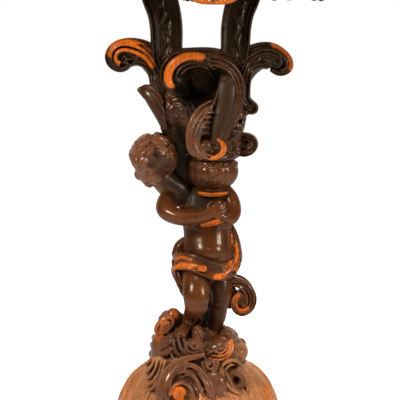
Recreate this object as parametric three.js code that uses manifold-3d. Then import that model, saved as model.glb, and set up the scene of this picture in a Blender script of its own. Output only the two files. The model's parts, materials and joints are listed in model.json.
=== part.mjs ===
// Torchere candle stand in carved walnut: a putto stands on a rocaille base and embraces a fluted urn.
// The urn carries a trunk of leaves and scrolls, whose two uprights hold a round top with a carved apron.
// Millimetres, +Z up, the front faces -Y, and the origin is the centre of the plinth's underside.
import * as THREE from "three";
import { mergeVertices } from "three/addons/utils/BufferGeometryUtils.js";
import Module from "manifold-3d";

const wasm = await Module();
wasm.setup();

// ---- Driving dimensions ----
const HEIGHT = 930;
const TOP_RADIUS = 250;
const TOP_THICK = 22;
const APRON_RADIUS = 226;
const APRON_DROP = 40;
const APRON_TURN = THREE.MathUtils.degToRad(5);
const APRON_PIECES = 8;
const CLEAT_SIZE = [250, 92, 20];
const PLINTH_RADIUS = 168;
const PLINTH_THICK = 24;
const DOME_TOP = 144;
const DOME_LOBES = 8;
const STUMP_TOP = 318;
const URN_CENTRE = [25, 0];
const URN_FOOT = 482;
const URN_TOP = 553;
const URN_RADIUS = 52;
const URN_FLUTES = 11;
const TRUNK_TOP = 768;
const GLUE_GAP = 0.3;
const REST_GAP = 0.35;
const SHOULDER_GAP = 0.8;
const DOWEL_RADIUS = 7;
const SCREW_RADIUS = 2.5;
const PLINTH_SCREWS = 3;
const PLINTH_SCREW_RING = 100;
const PLINTH_SCREW_DEPTH = 8;
const CLEAT_SCREW_REACH = 28;
const TENON = [36, 30, 14];
const HEAD_CENTRE = [-92, -24, 549];
const HEAD_WAY = [-0.42, -0.62, -0.66];
const HEAD_UP = [-0.15, -0.6, 0.78];
const SKULL_RADIUS = 41;
const HAIR_CURLS = 64;
const RIGHT_UPRIGHT_SLIMMER = 2.5;

const TOP_UNDERSIDE = HEIGHT - TOP_THICK;
const APRON_TOP = TOP_UNDERSIDE - REST_GAP;
const CLEAT_UNDERSIDE = TOP_UNDERSIDE - REST_GAP - CLEAT_SIZE[2];
const TAU = 2 * Math.PI;

const finish = (color, roughness, metalness = 0) =>
  new THREE.MeshStandardMaterial({ color, roughness, metalness, flatShading: true });
const WALNUT = finish(0x4a2616, 0.35);
const PALE_WALNUT = finish(0x9c6238, 0.5);
const HONEY = finish(0xc0641c, 0.4);
const BEECH = finish(0xd0ab78, 0.7);
const STEEL = finish(0x8d8d88, 0.4, 0.9);

// ---- Solids ----

/** The solid that a closed geometry bounds. */
function solidOf(geometry) {
  const loose = geometry.index ? geometry.toNonIndexed() : geometry;
  const bare = new THREE.BufferGeometry();
  bare.setAttribute("position", loose.getAttribute("position"));
  const merged = mergeVertices(bare, 1e-3);
  const corners = merged.index.array;
  const faces = [];
  for (let i = 0; i < corners.length; i += 3) {
    const [a, b, c] = corners.subarray(i, i + 3);
    if (a !== b && b !== c && c !== a) faces.push(a, b, c);
  }
  const make = (triVerts) =>
    new wasm.Manifold(
      new wasm.Mesh({ numProp: 3, vertProperties: merged.attributes.position.array, triVerts }),
    );
  const made = make(new Uint32Array(faces));
  return made.volume() > 0 ? made : make(new Uint32Array(faces.reverse()));
}

/** A solid back as a geometry. */
function geometryOf(solid) {
  const { vertProperties, triVerts } = solid.getMesh();
  const geometry = new THREE.BufferGeometry();
  geometry.setAttribute("position", new THREE.BufferAttribute(vertProperties, 3));
  geometry.setIndex(new THREE.BufferAttribute(triVerts, 1));
  geometry.computeVertexNormals();
  return geometry;
}

/** The room that a solid needs: itself swelled by the glue gap, so a neighbour cut by it stands clear. */
function roomFor(solid) {
  const { vertProperties, triVerts } = solid.getMesh();
  const corner = (i) => new THREE.Vector3().fromArray(vertProperties, i * 3);
  const facing = Array.from({ length: vertProperties.length / 3 }, () => []);
  for (let i = 0; i < triVerts.length; i += 3) {
    const ids = [...triVerts.subarray(i, i + 3)];
    const [a, b, c] = ids.map(corner);
    const normal = b.clone().sub(a).cross(c.clone().sub(a)).normalize();
    ids.forEach((id) => facing[id].push(normal));
  }
  const moved = new Float32Array(vertProperties.length);
  facing.forEach((normals, i) => {
    const outward = normals.reduce((sum, n) => sum.add(n), new THREE.Vector3()).normalize();
    const lean = Math.max(0.4, Math.min(...normals.map((n) => n.dot(outward))));
    corner(i).addScaledVector(outward, GLUE_GAP / lean).toArray(moved, i * 3);
  });
  return solid.add(new wasm.Manifold(new wasm.Mesh({ numProp: 3, vertProperties: moved, triVerts })));
}

const join = (...solids) => solids.reduce((all, one) => all.add(one));
const carve = (solid, ...tools) => tools.reduce((left, tool) => left.subtract(tool), solid);
const largest = (solid) => solid.decompose().sort((a, b) => b.volume() - a.volume())[0];

/** Faces between rings of points, closed at each end by a fan round a pole. */
function skin(rings, firstPole, lastPole) {
  const corners = [];
  const sides = rings[0].length;
  const triangle = (...points) => points.forEach((p) => corners.push(p.x, p.y, p.z));
  for (let k = 0; k < sides; k++) {
    const next = (k + 1) % sides;
    for (let i = 0; i + 1 < rings.length; i++) {
      triangle(rings[i][k], rings[i][next], rings[i + 1][next]);
      triangle(rings[i][k], rings[i + 1][next], rings[i + 1][k]);
    }
    triangle(firstPole, rings[0][next], rings[0][k]);
    triangle(lastPole, rings.at(-1)[k], rings.at(-1)[next]);
  }
  const geometry = new THREE.BufferGeometry();
  geometry.setAttribute("position", new THREE.Float32BufferAttribute(corners, 3));
  return solidOf(geometry);
}

/** The middle of a ring of points. */
function middleOf(ring) {
  return ring.reduce((sum, p) => sum.add(p), new THREE.Vector3()).divideScalar(ring.length);
}

/** An oval section of unit size. */
function oval(sides) {
  return Array.from({ length: sides }, (_, i) => {
    const angle = ((i + 0.5) / sides) * TAU;
    return [Math.cos(angle), Math.sin(angle)];
  });
}

/** A scroll's band: two raised fillets and a hollow in front, a rounded back. */
const BAND = [
  [-1, -0.5], [-0.72, -1], [-0.4, -0.66], [0.4, -0.66], [0.72, -1], [1, -0.5], [0.85, 1], [-0.85, 1],
];
/** A leaf's blade: hollowed in front between a fat rim and a thin one, crowned behind. */
const BLADE = [
  [-1, -0.6], [-0.75, -1], [-0.2, -0.15], [0.4, -0.25], [0.86, -0.9], [1, 0], [0.3, 0.9], [-0.7, 0.7],
];
/** Wound cloth seen end on: three folds outside, plain inside. */
const FOLDS = [
  [-1, 0.5], [-0.8, -0.8], [-0.4, -0.3], [0, -1], [0.4, -0.35], [0.82, -0.85], [1, 0.5], [0, 0.85],
];

/**
 * A section carried along stations [x, y, z, across, deep], its own back turned to the way given
 * at the first station. Blunt is how far each end bulges, against its own size, and 0 leaves it flat.
 */
function loft(stations, { section = oval(10), back = [0, 1, 0], steps = 10, blunt = 0.7 } = {}) {
  const points = stations.map(([x, y, z]) => new THREE.Vector3(x, y, z));
  const path = new THREE.CatmullRomCurve3(points, false, "centripetal");
  const sizeAt = (t) => {
    const place = t * (stations.length - 1);
    const i = Math.min(Math.floor(place), stations.length - 2);
    const [, , , across, deep = across] = stations[i];
    const [, , , nextAcross, nextDeep = nextAcross] = stations[i + 1];
    const { lerp } = THREE.MathUtils;
    return [lerp(across, nextAcross, place - i), lerp(deep, nextDeep, place - i)];
  };
  const backWay = new THREE.Vector3(...back);
  const stop = (t, push) => {
    const [across, deep] = sizeAt(t);
    const tangent = path.getTangent(t);
    const centre = path.getPoint(t).addScaledVector(tangent, push * Math.min(across, deep));
    return { across, deep, tangent, centre };
  };
  const ring = (t, push = 0, shrink = 1) => {
    const { across, deep, tangent, centre } = stop(t, push);
    backWay.addScaledVector(tangent, -backWay.dot(tangent)).normalize();
    const sideWay = new THREE.Vector3().crossVectors(tangent, backWay);
    return section.map(([u, v]) =>
      centre
        .clone()
        .addScaledVector(sideWay, u * across * shrink)
        .addScaledVector(backWay, v * deep * shrink),
    );
  };
  const rings = Array.from({ length: steps + 1 }, (_, i) => ring(i / steps));
  if (blunt) {
    rings.unshift(ring(0, -0.65 * blunt, 0.7));
    rings.push(ring(1, 0.65 * blunt, 0.7));
  }
  return skin(rings, stop(0, -blunt).centre, stop(1, blunt).centre);
}

/** A rounded lump with its own three radii. */
function blob([x, y, z], [width, depth, height], { sides = 10, rows = 7, place } = {}) {
  const geometry = new THREE.SphereGeometry(1, sides, rows);
  geometry.rotateX(Math.PI / 2);
  geometry.scale(width, depth, height);
  geometry.translate(x, y, z);
  if (place) geometry.applyMatrix4(place);
  return solidOf(geometry);
}

/** A turned solid from a profile of [radius, z], which starts and ends on its axis. */
function turned(profile, sides, [x, y] = [0, 0]) {
  const geometry = new THREE.LatheGeometry(profile.map(([r, z]) => new THREE.Vector2(r, z)), sides);
  geometry.rotateX(Math.PI / 2);
  geometry.translate(x, y, 0);
  return solidOf(geometry);
}

/** A turned solid whose radius also swells round its axis, by swell(angle, z). */
function lobed(profile, sides, swell, [x, y] = [0, 0]) {
  const rings = profile.map(([r, z]) =>
    Array.from({ length: sides }, (_, k) => {
      const angle = (k / sides) * TAU;
      const reach = r * swell(angle, z);
      return new THREE.Vector3(x + reach * Math.cos(angle), y + reach * Math.sin(angle), z);
    }),
  );
  const [foot, head] = [profile[0][1], profile.at(-1)[1]];
  return skin(rings, new THREE.Vector3(x, y, foot), new THREE.Vector3(x, y, head));
}

/** The matrix that stands a shape made facing -Y at a point, facing another way. */
function facing([x, y, z], way, up = [0, 0, 1]) {
  const front = new THREE.Vector3(...way).normalize();
  const side = new THREE.Vector3().crossVectors(front, new THREE.Vector3(...up)).normalize();
  const top = new THREE.Vector3().crossVectors(side, front);
  return new THREE.Matrix4().makeBasis(side, front.negate(), top).setPosition(x, y, z);
}

/** A domed shell with ribs round its hinge, flat behind, made facing -Y. */
function ribbedShell([width, depth, height], ribs, place, { hinge = 0.5, bite = 0.08 } = {}) {
  const sides = ribs * 2;
  const ringAt = (reach, rise) =>
    Array.from({ length: sides }, (_, k) => {
      const angle = (k / sides) * TAU;
      const rib = 1 + bite * reach * (k % 2 ? -1 : 1);
      const x = Math.cos(angle) * reach * rib * width;
      const z = (Math.sin(angle) * reach * rib - hinge * (1 - reach)) * height;
      return new THREE.Vector3(x, -rise * depth * (k % 2 ? 0.82 : 1), z).applyMatrix4(place);
    });
  const rings = [ringAt(0.94, -0.5), ringAt(1, 0.1), ringAt(0.82, 0.72), ringAt(0.4, 0.8)];
  const pole = (rise, reach) =>
    new THREE.Vector3(0, -rise * depth, -hinge * (1 - reach) * height).applyMatrix4(place);
  return skin(rings, pole(-0.5, 0.94), pole(0.55, 0));
}

// ---- Joinery ----

/** A dowel along Z. */
function dowel([x, y], low, high) {
  const r = DOWEL_RADIUS;
  return turned([[0, low], [r, low], [r, high], [0, high]], 8, [x, y]);
}

/** A countersunk wood screw driven upwards. */
function woodScrew([x, y], low, length) {
  const r = SCREW_RADIUS;
  const profile = [
    [0, low], [r * 1.9, low], [r, low + r], [r, low + length * 0.8], [0, low + length],
  ];
  return turned(profile, 6, [x, y]);
}

/** Where the plinth's screws stand. */
function plinthScrewSpots() {
  return Array.from({ length: PLINTH_SCREWS }, (_, k) => {
    const angle = ((k + 0.5) / PLINTH_SCREWS) * TAU;
    return [PLINTH_SCREW_RING * Math.cos(angle), PLINTH_SCREW_RING * Math.sin(angle)];
  });
}

/** A box with its own centre. */
function block([width, depth, height], [x, y, z]) {
  const geometry = new THREE.BoxGeometry(width, depth, height);
  geometry.translate(x, y, z);
  return solidOf(geometry);
}

// ---- Base ----

/** The round plinth: a fillet, a round nosing and a step up to the dome. */
function plinth() {
  const r = PLINTH_RADIUS;
  const profile = [
    [0, 0], [r - 4, 0], [r, 5], [r, 12], [r - 10, PLINTH_THICK], [0, PLINTH_THICK],
  ];
  const wells = plinthScrewSpots().map((spot) => {
    const [bore, low, high] = [SCREW_RADIUS * 2.6, -1, PLINTH_SCREW_DEPTH + 0.5];
    return turned([[0, low], [bore, low], [bore, high], [0, high]], 6, spot);
  });
  return carve(turned(profile, 24), ...wells);
}

/** The lobed dome, whose skirt flares over the plinth and whose neck carries the rockwork. */
function baseDome() {
  const foot = PLINTH_THICK + REST_GAP;
  const profile = [
    [157, foot], [158, 56], [147, 86], [133, 112], [112, 131], [97, DOME_TOP],
  ];
  const lobe = (angle, z) => {
    const fade = THREE.MathUtils.smoothstep(DOME_TOP - z, 0, 40);
    return 1 - 0.05 * fade * Math.abs(Math.sin((angle * DOME_LOBES) / 2)) ** 2;
  };
  return lobed(profile, DOME_LOBES * 3, lobe);
}

/** The big C scroll in front: an outer band, the leaf that fills its arch, and its button. */
const baseScrollFront = () =>
  join(
    loft(
      [
        [-75, -132, 84, 8, 8], [-74, -131, 100, 9, 9], [-72, -128, 122, 9, 9], [-65, -121, 144, 9, 9],
        [-51, -115, 160, 9, 9], [-32, -112, 172, 7, 8], [-12, -110, 178, 6, 6], [11, -108, 183, 3, 4],
      ],
      { section: BAND, steps: 8 },
    ),
    loft(
      [
        [-60, -138, 86, 5, 7], [-57, -134, 124, 5, 7], [-42, -125, 153, 5, 7], [-14, -120, 164, 5, 7],
        [9, -124, 149, 5, 7], [24, -132, 124, 5, 7], [29, -140, 88, 5, 7],
      ],
      { section: oval(5), steps: 7 },
    ),
    blob([-18, -114, 118], [44, 20, 44], { sides: 8, rows: 4 }),
    blob([-32, -140, 112], [19, 10, 19], { sides: 7, rows: 3 }),
  );

/** The leafy scroll on the right, round its eye. */
const baseScrollRight = () =>
  join(
    loft(
      [
        [43, -106, 132, 8, 10], [47, -104, 156, 8, 10], [62, -98, 166, 7, 10], [80, -94, 160, 7, 9],
        [94, -90, 146, 7, 9], [97, -91, 128, 7, 9], [93, -98, 108, 7, 9], [76, -108, 100, 7, 9],
        [57, -114, 112, 7, 9],
      ],
      { section: BAND, steps: 9 },
    ),
    blob([62, -90, 128], [28, 20, 36], { sides: 7, rows: 4 }),
  );

const baseScrollBack = () =>
  loft(
    [
      [52, 128, 84, 7, 8], [46, 120, 110, 10, 9], [26, 110, 138, 11, 10], [-2, 108, 156, 12, 10],
      [-32, 112, 150, 11, 10], [-46, 122, 124, 10, 9], [-34, 134, 98, 8, 8], [-14, 136, 92, 6, 7],
    ],
    { section: BAND, back: [0, -1, 0], steps: 9 },
  );

/** The leaf on the dome's left shoulder: three of its ribs side by side. */
const baseLeafLeft = () =>
  join(
    ...[
      [[-63, -92, 168, 5], [-68, -104, 146, 7], [-78, -107, 127, 7], [-100, -98, 110, 4]],
      [[-75, -90, 168, 5], [-79, -99, 149, 7], [-89, -102, 134, 7], [-106, -94, 121, 4]],
      [[-88, -84, 168, 5], [-93, -92, 154, 6], [-106, -87, 142, 4]],
    ].map((stations) => loft(stations, { section: oval(5), back: [0.4, 0.9, 0], steps: 2 })),
    blob([-80, -80, 144], [26, 18, 34], { sides: 6, rows: 4 }),
  );

/** The small nested shell above the front scroll's end. */
const baseShellFront = () =>
  ribbedShell([19, 13, 17], 6, facing([23, -102, 159], [0.15, -1, 0.25]), { hinge: -0.5 });

// ---- Rockwork ----

/** The craggy mound, higher on the left, with the crags that both feet stand on. */
function rockMound() {
  const profile = [[95, DOME_TOP + REST_GAP], [99, 156], [90, 172], [80, 188], [58, 200], [34, 206]];
  const crag = (angle, z) => 1 + 0.05 * Math.sin(5 * angle + z / 9) + 0.035 * Math.cos(9 * angle - z / 13);
  const crags = [
    [[-34, -32, 180], [42, 46, 36]], [[-50, 14, 196], [32, 38, 46]], [[32, -24, 160], [44, 48, 26]],
    [[34, 26, 182], [30, 32, 34]], [[58, -22, 202], [16, 18, 18]],
  ];
  const blobs = crags.map(([centre, radii]) => blob(centre, radii, { sides: 7, rows: 4 }));
  return join(lobed(profile, 14, crag), ...blobs);
}

/** The oval shell on the mound's left shoulder, and the rolls of rockwork under it. */
const rockLeft = () =>
  join(
    ribbedShell([20, 20, 26], 8, facing([-66, -44, 212], [-0.6, -0.8, 0.1], [0.45, 0, 1])),
    loft(
      [[-94, -30, 172, 9], [-80, -58, 176, 12], [-56, -72, 178, 12], [-40, -78, 172, 8]],
      { section: oval(6), steps: 5 },
    ),
    loft(
      [[-92, -38, 152, 8], [-78, -62, 154, 11], [-54, -80, 156, 11], [-38, -86, 152, 7]],
      { section: oval(6), steps: 5 },
    ),
  );

const rockFrontShell = () =>
  ribbedShell([32, 20, 25], 7, facing([-18, -76, 186], [-0.1, -1, 0.2]), { hinge: -0.4 });

const rockRightRings = () =>
  ribbedShell([26, 22, 20], 7, facing([44, -68, 186], [0.3, -1, 0.2]), { hinge: 0.6 });

const rockRightKnob = () =>
  join(
    blob([84, -6, 166], [18, 30, 20], { sides: 8, rows: 5 }),
    blob([72, 30, 164], [20, 26, 22], { sides: 8, rows: 5 }),
  );

/** The tree stump behind the legs, which carries the figure's weight. */
const legStump = () =>
  join(
    loft(
      [
        [6, 22, 196, 32, 30], [4, 24, 225, 24, 23], [8, 22, 260, 21, 20], [10, 20, 292, 23, 22],
        [12, 14, STUMP_TOP, 28, 24],
      ],
      { section: oval(7), steps: 4 },
    ),
    loft([[-4, 24, 262, 10], [-22, 18, 272, 8], [-34, 14, 284, 6]], { section: oval(6), steps: 2 }),
  );

// ---- The putto ----

/** The plump trunk of the figure: hips, belly, breast and shoulders. */
const torso = () =>
  join(
    loft(
      [
        [14, 2, 318, 47, 38], [16, 0, 346, 52, 46], [16, -2, 375, 50, 47], [15, 0, 403, 47, 41],
        [12, 2, 431, 48, 38], [8, 4, 455, 52, 33], [6, 6, 480, 38, 24],
      ],
      { section: oval(8), steps: 6 },
    ),
    blob([17, -17, 370], [42, 35, 34], { sides: 7, rows: 4 }),
    blob([-13, -20, 440], [25, 19, 22], { sides: 6, rows: 3 }),
    blob([37, -20, 438], [25, 19, 22], { sides: 6, rows: 3 }),
  );

/** Directions spread evenly over a sphere, from which the curls grow. */
function evenDirections(count) {
  const turn = Math.PI * (3 - Math.sqrt(5));
  return Array.from({ length: count }, (_, i) => {
    const z = 1 - (2 * i + 1) / count;
    const reach = Math.sqrt(1 - z * z);
    return new THREE.Vector3(reach * Math.cos(i * turn), reach * Math.sin(i * turn), z);
  });
}

/** The swellings of a calm child's face and its curls: where, how high, and how wide in radians. */
function headSwellings() {
  const at = (x, y, z, rise, width) => ({ way: new THREE.Vector3(x, y, z).normalize(), rise, width });
  const nose = at(0, -1, -0.22, 10, 0.15);
  const chin = at(0, -0.85, -0.75, 5, 0.2);
  const lips = at(0, -1, -0.5, 4, 0.13);
  const brow = at(0, -1, 0.4, 3, 0.4);
  const face = [nose, chin, lips, brow];
  for (const side of [-1, 1]) {
    const cheek = at(side * 0.48, -0.8, -0.4, 6, 0.3);
    const socket = at(side * 0.34, -1, 0.02, -4, 0.15);
    const ear = at(side, -0.05, -0.15, 5, 0.17);
    face.push(cheek, socket, ear);
  }
  const isHair = ({ y, z }) => z > -0.62 && (y > -0.12 || z > 0.5);
  const curls = evenDirections(HAIR_CURLS).filter(isHair).map(({ x, y, z }) => at(x, y, z, 6, 0.2));
  return [...face, ...curls];
}

/** The head: a round skull with its swellings, close-set over the face, and a plump neck. */
function head() {
  const place = facing(HEAD_CENTRE, HEAD_WAY, HEAD_UP);
  const [sides, rows] = [18, 10];
  const crowding = 0.42;
  const swellings = headSwellings();
  const surface = (angle, tilt) => {
    const turn = angle - crowding * Math.sin(angle);
    const level = Math.sin(tilt);
    const way = new THREE.Vector3(Math.sin(turn) * level, -Math.cos(turn) * level, -Math.cos(tilt));
    const rise = ({ way: centre, rise: height, width }) =>
      height * Math.exp(-((way.angleTo(centre) / width) ** 2));
    const reach = swellings.reduce((sum, one) => sum + rise(one), SKULL_RADIUS);
    return way.multiplyScalar(reach).multiply(new THREE.Vector3(0.97, 1, 1)).applyMatrix4(place);
  };
  const rings = Array.from({ length: rows }, (_, i) => {
    const tilt = ((i + 1) / (rows + 1)) * Math.PI;
    return Array.from({ length: sides }, (_, k) => surface((k / sides) * TAU, tilt));
  });
  const neck = loft(
    [[-88, -12, 530, 22], [-70, -6, 510, 25], [-46, 3, 490, 29], [-36, 5, 480, 25]],
    { section: oval(7), steps: 2 },
  );
  return join(skin(rings, surface(0, 0), surface(0, Math.PI)), neck);
}

/** Four fingers from a palm, each bent once. */
function hand(palm, reach, spread, size) {
  const [wrist, way] = [new THREE.Vector3(...palm), new THREE.Vector3(...reach)];
  const digits = [];
  for (let k = 0; k < 4; k++) {
    const root = wrist.clone().addScaledVector(new THREE.Vector3(...spread), k - 1.5);
    const bend = root.clone().addScaledVector(way, 0.55);
    const tip = root.clone().add(way).add(new THREE.Vector3(0, size * 0.6, size * 0.4));
    const stations = [root, bend, tip].map((p, i) => [...p.toArray(), size * (1 - i * 0.14)]);
    digits.push(loft(stations, { section: oval(5), steps: 2, blunt: 0 }));
  }
  return join(...digits);
}

const rightArm = () =>
  join(
    loft(
      [
        [-40, 4, 481, 21], [-60, -16, 474, 20], [-66, -42, 459, 19], [-50, -58, 449, 18],
        [-24, -66, 445, 16], [0, -70, 449, 14], [20, -70, 457, 11], [34, -66, 462, 10],
      ],
      { section: oval(6), steps: 6 },
    ),
    hand([28, -72, 458], [17, 1, 15], [5, 1, -5], 4.2),
  );

const leftArm = () =>
  join(
    loft(
      [[46, 8, 484, 20], [61, -2, 473, 17], [67, -18, 454, 15], [61, -38, 441, 14], [48, -52, 442, 11]],
      { section: oval(7), steps: 6 },
    ),
  );

/** A plump foot with its toes, from the heel towards the way given. */
function foot([x, y, z], [aheadX, aheadY, aheadZ]) {
  const at = (t, lift, size) => [x + aheadX * t, y + aheadY * t, z + aheadZ * t + lift, size, size * 0.8];
  const [sideX, sideY] = [-aheadY, aheadX].map((v) => v / Math.hypot(aheadX, aheadY));
  const toes = Array.from({ length: 5 }, (_, k) => {
    const across = (k - 2) * 4.4;
    const [tipX, tipY, tipZ] = at(1.08 - Math.abs(k - 3) * 0.05, -1, 1);
    return blob([tipX + sideX * across, tipY + sideY * across, tipZ], [3.4, 5, 3.6], { sides: 4, rows: 3 });
  });
  const sole = loft(
    [at(-0.2, 2, 10), at(0.3, 3, 11), at(0.7, 1, 12), at(1, 0, 10)],
    { section: oval(7), back: [0, 0, 1], steps: 4 },
  );
  return join(sole, ...toes);
}

const rightLeg = () =>
  join(
    loft(
      [
        [-5, -8, 342, 28], [-6, -34, 322, 26], [-7, -58, 303, 25], [-8, -68, 284, 23], [-9, -60, 262, 18],
        [-13, -50, 246, 15], [-20, -43, 227, 11],
      ],
      { section: oval(7), steps: 7 },
    ),
    foot([-25, -46, 217], [-12, -32, -3]),
  );

const leftLeg = () =>
  join(
    loft(
      [
        [36, -2, 336, 28], [41, -14, 306, 25], [43, -22, 281, 22], [40, -20, 258, 18], [38, -16, 238, 17],
        [34, -15, 217, 13], [31, -14, 202, 11],
      ],
      { section: oval(8), steps: 7 },
    ),
    foot([31, -16, 192], [3, -34, -3]),
  );

// ---- Drapery ----

/** The cloth wound round the hips, one roll of three folds, with a fold pulled up over the hip. */
const waistDrapery = () =>
  join(
    loft(
      [
        [-32, 40, 342, 15, 9], [-48, 10, 341, 17, 9], [-41, -28, 351, 18, 10], [-14, -50, 354, 18, 11],
        [15, -56, 344, 18, 11], [43, -48, 336, 18, 11], [62, -18, 338, 19, 10], [66, 18, 342, 17, 10],
      ],
      { section: FOLDS, back: [1, 0, 0], steps: 5 },
    ),
    loft(
      [
        [66, 14, 342, 17, 9], [52, 44, 346, 18, 9], [18, 54, 348, 18, 9], [-18, 50, 345, 17, 9],
        [-38, 30, 340, 15, 9],
      ],
      { section: oval(6), back: [-1, -0.2, 0], steps: 3 },
    ),
  );

const draperyFall = () =>
  loft(
    [
      [-52, -8, 344, 11, 13], [-52, -16, 326, 11, 13], [-45, -21, 310, 10, 12], [-38, -23, 296, 8, 9],
      [-34, -22, 280, 5, 6],
    ],
    { section: FOLDS, steps: 6 },
  );

const sideDrapery = () =>
  loft(
    [
      [56, 18, 436, 6, 7], [62, 13, 418, 8, 9], [68, 10, 402, 9, 10], [73, 6, 384, 10, 11],
      [75, 2, 363, 11, 12], [73, -6, 344, 11, 12], [64, -18, 328, 9, 9],
    ],
    { section: FOLDS, back: [-0.5, 0.9, 0], steps: 6 },
  );

const draperyScroll = () =>
  loft(
    [
      [50, -10, 303, 9, 14], [66, -6, 308, 9, 17], [86, -2, 304, 9, 18], [100, 0, 290, 9, 18],
      [105, 0, 273, 9, 18], [100, 0, 257, 9, 18], [87, 0, 249, 9, 17], [76, 0, 256, 8, 16],
      [74, -2, 270, 8, 15], [84, -4, 277, 8, 13], [90, -4, 268, 6, 12],
    ],
    { section: BAND, steps: 12 },
  );

const sash = () =>
  loft(
    [
      [-4, -46, 428, 5, 5], [14, -52, 433, 7, 6], [32, -55, 438, 8, 6], [48, -50, 441, 8, 6],
      [60, -34, 441, 6, 6],
    ],
    { section: FOLDS, steps: 6 },
  );

// ---- Urn and trunk ----

/** The fluted urn on its waisted foot. */
function urn() {
  const r = URN_RADIUS;
  const profile = [
    [30, URN_FOOT], [34, URN_FOOT + 6], [26, URN_FOOT + 13], [36, URN_FOOT + 22],
    [r - 4, URN_FOOT + 34], [r, URN_FOOT + 50], [r - 8, URN_TOP],
  ];
  const [bowlFoot, bowlTop] = [URN_FOOT + 18, URN_TOP - 6];
  const flute = (angle, z) => {
    const inBowl = z > bowlFoot && z < bowlTop;
    return inBowl ? 1 - 0.06 * (0.5 - 0.5 * Math.cos(angle * URN_FLUTES)) : 1;
  };
  return lobed(profile, URN_FLUTES * 2, flute, URN_CENTRE);
}

/** The rocaille trunk on its collar, with its deep hollow in front and the lobe behind the head. */
function trunk() {
  const [x, y] = URN_CENTRE;
  const foot = URN_TOP + REST_GAP;
  const body = loft(
    [
      [x, y, foot, 43, 43], [x, y, foot + 7, 46, 46], [x, y, foot + 14, 38, 38], [22, 0, 588, 46, 41],
      [12, 0, 616, 64, 45], [8, 0, 650, 73, 49], [3, 0, 690, 72, 51], [0, 0, 726, 64, 50],
      [0, 0, TRUNK_TOP - 20, 48, 44], [0, 0, TRUNK_TOP - 8, 51, 47], [0, 0, TRUNK_TOP, 43, 39],
    ],
    { section: oval(12), steps: 9, blunt: 0 },
  );
  const lobe = loft(
    [
      [-57, 2, 620, 18, 20], [-49, 6, 592, 21, 22], [-43, 8, 562, 22, 22], [-41, 8, 527, 20, 22],
      [-40, 8, 498, 19, 18],
    ],
    { section: oval(6), steps: 4 },
  );
  const roll = blob([68, -8, 626], [22, 22, 42], { sides: 7, rows: 4 });
  const hollow = blob([2, -58, 704], [38, 38, 40], { sides: 7, rows: 5 });
  return carve(join(body, lobe, roll), hollow);
}

/** The long plume in front, the smooth tongue beside it, and the crescent that curls up under them. */
const frontLeaf = () =>
  join(
    loft(
      [
        [16, -46, 690, 9, 9], [7, -52, 666, 14, 11], [-6, -57, 639, 17, 12], [-13, -60, 612, 17, 12],
        [-13, -62, 590, 16, 12], [-4, -64, 574, 13, 10], [14, -66, 565, 9, 8],
      ],
      { section: oval(6), steps: 6 },
    ),
    loft(
      [
        [34, -46, 726, 13, 9], [35, -51, 700, 17, 10], [31, -54, 664, 18, 11], [23, -58, 626, 16, 11],
        [12, -62, 588, 12, 10],
      ],
      { section: oval(6), steps: 4 },
    ),
    loft(
      [[34, -66, 600, 4, 5], [44, -70, 590, 6, 7], [42, -72, 574, 6, 7], [28, -72, 564, 5, 6]],
      { section: oval(6), steps: 3 },
    ),
  );

const leftLeaf = () =>
  loft(
    [
      [-122, -5, 691, 5, 6], [-110, -9, 687, 11, 12], [-96, -14, 674, 15, 15], [-85, -18, 656, 15, 16],
      [-76, -20, 636, 13, 15], [-70, -20, 618, 9, 12],
    ],
    { section: BLADE, back: [0.3, 0.9, 0], steps: 7 },
  );

const backLeaf = () =>
  loft(
    [
      [4, 44, 752, 8, 7], [-6, 52, 716, 20, 10], [-4, 54, 676, 26, 11], [2, 52, 636, 22, 11],
      [12, 46, 600, 14, 9], [20, 48, 576, 6, 6],
    ],
    { section: BLADE, back: [0, -1, 0], steps: 7 },
  );

const smallScroll = () =>
  join(
    loft(
      [
        [72, -4, 600, 7, 12], [90, -10, 602, 7, 12], [103, -11, 596, 7, 12], [107, -11, 586, 7, 12],
        [102, -10, 574, 7, 12], [88, -8, 568, 7, 12], [76, -4, 568, 6, 10],
      ],
      { section: BAND, steps: 7 },
    ),
    blob([88, -4, 586], [16, 9, 14], { sides: 6, rows: 4 }),
  );

const crownScrollLeft = () =>
  loft(
    [
      [14, -55, 755, 7, 9], [-4, -58, 757, 11, 11], [-30, -59, 754, 13, 12], [-53, -57, 742, 13, 12],
      [-64, -55, 722, 12, 12], [-61, -54, 704, 10, 11], [-48, -58, 699, 7, 9],
    ],
    { section: BAND, steps: 11 },
  );

const crownScrollRight = () =>
  loft(
    [
      [12, -50, 752, 10, 11], [34, -50, 752, 14, 13], [54, -46, 738, 16, 15], [64, -42, 712, 16, 15],
      [64, -42, 686, 15, 15], [60, -44, 660, 13, 14], [52, -48, 644, 8, 9],
    ],
    { section: BAND, steps: 8 },
  );

/** A side scroll: a web that widens into the volute, and the band that rims it and rolls over. */
function sideScroll(web, rim) {
  return join(loft(web, { section: oval(6), steps: 4 }), loft(rim, { section: BAND, steps: 9 }));
}

const scrollLeft = () =>
  sideScroll(
    [
      [-74, 0, 668, 15, 17], [-80, 0, 706, 19, 18], [-91, 0, 735, 23, 18], [-109, 0, 757, 25, 17],
      [-130, 0, 765, 24, 15], [-150, 0, 760, 25, 12], [-162, 0, 757, 21, 10],
    ],
    [
      [-86, 0, 756, 7, 19], [-105, 0, 778, 7, 20], [-125, 0, 785, 7, 20], [-143, 0, 786, 7, 19],
      [-160, 0, 782, 7, 19], [-173, 0, 775, 7, 18], [-181, 0, 764, 7, 18], [-182, 0, 752, 7, 17],
      [-177, 0, 741, 7, 17], [-166, 0, 734, 7, 16], [-152, 0, 734, 6, 15], [-142, 0, 742, 5, 13],
    ],
  );

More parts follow.
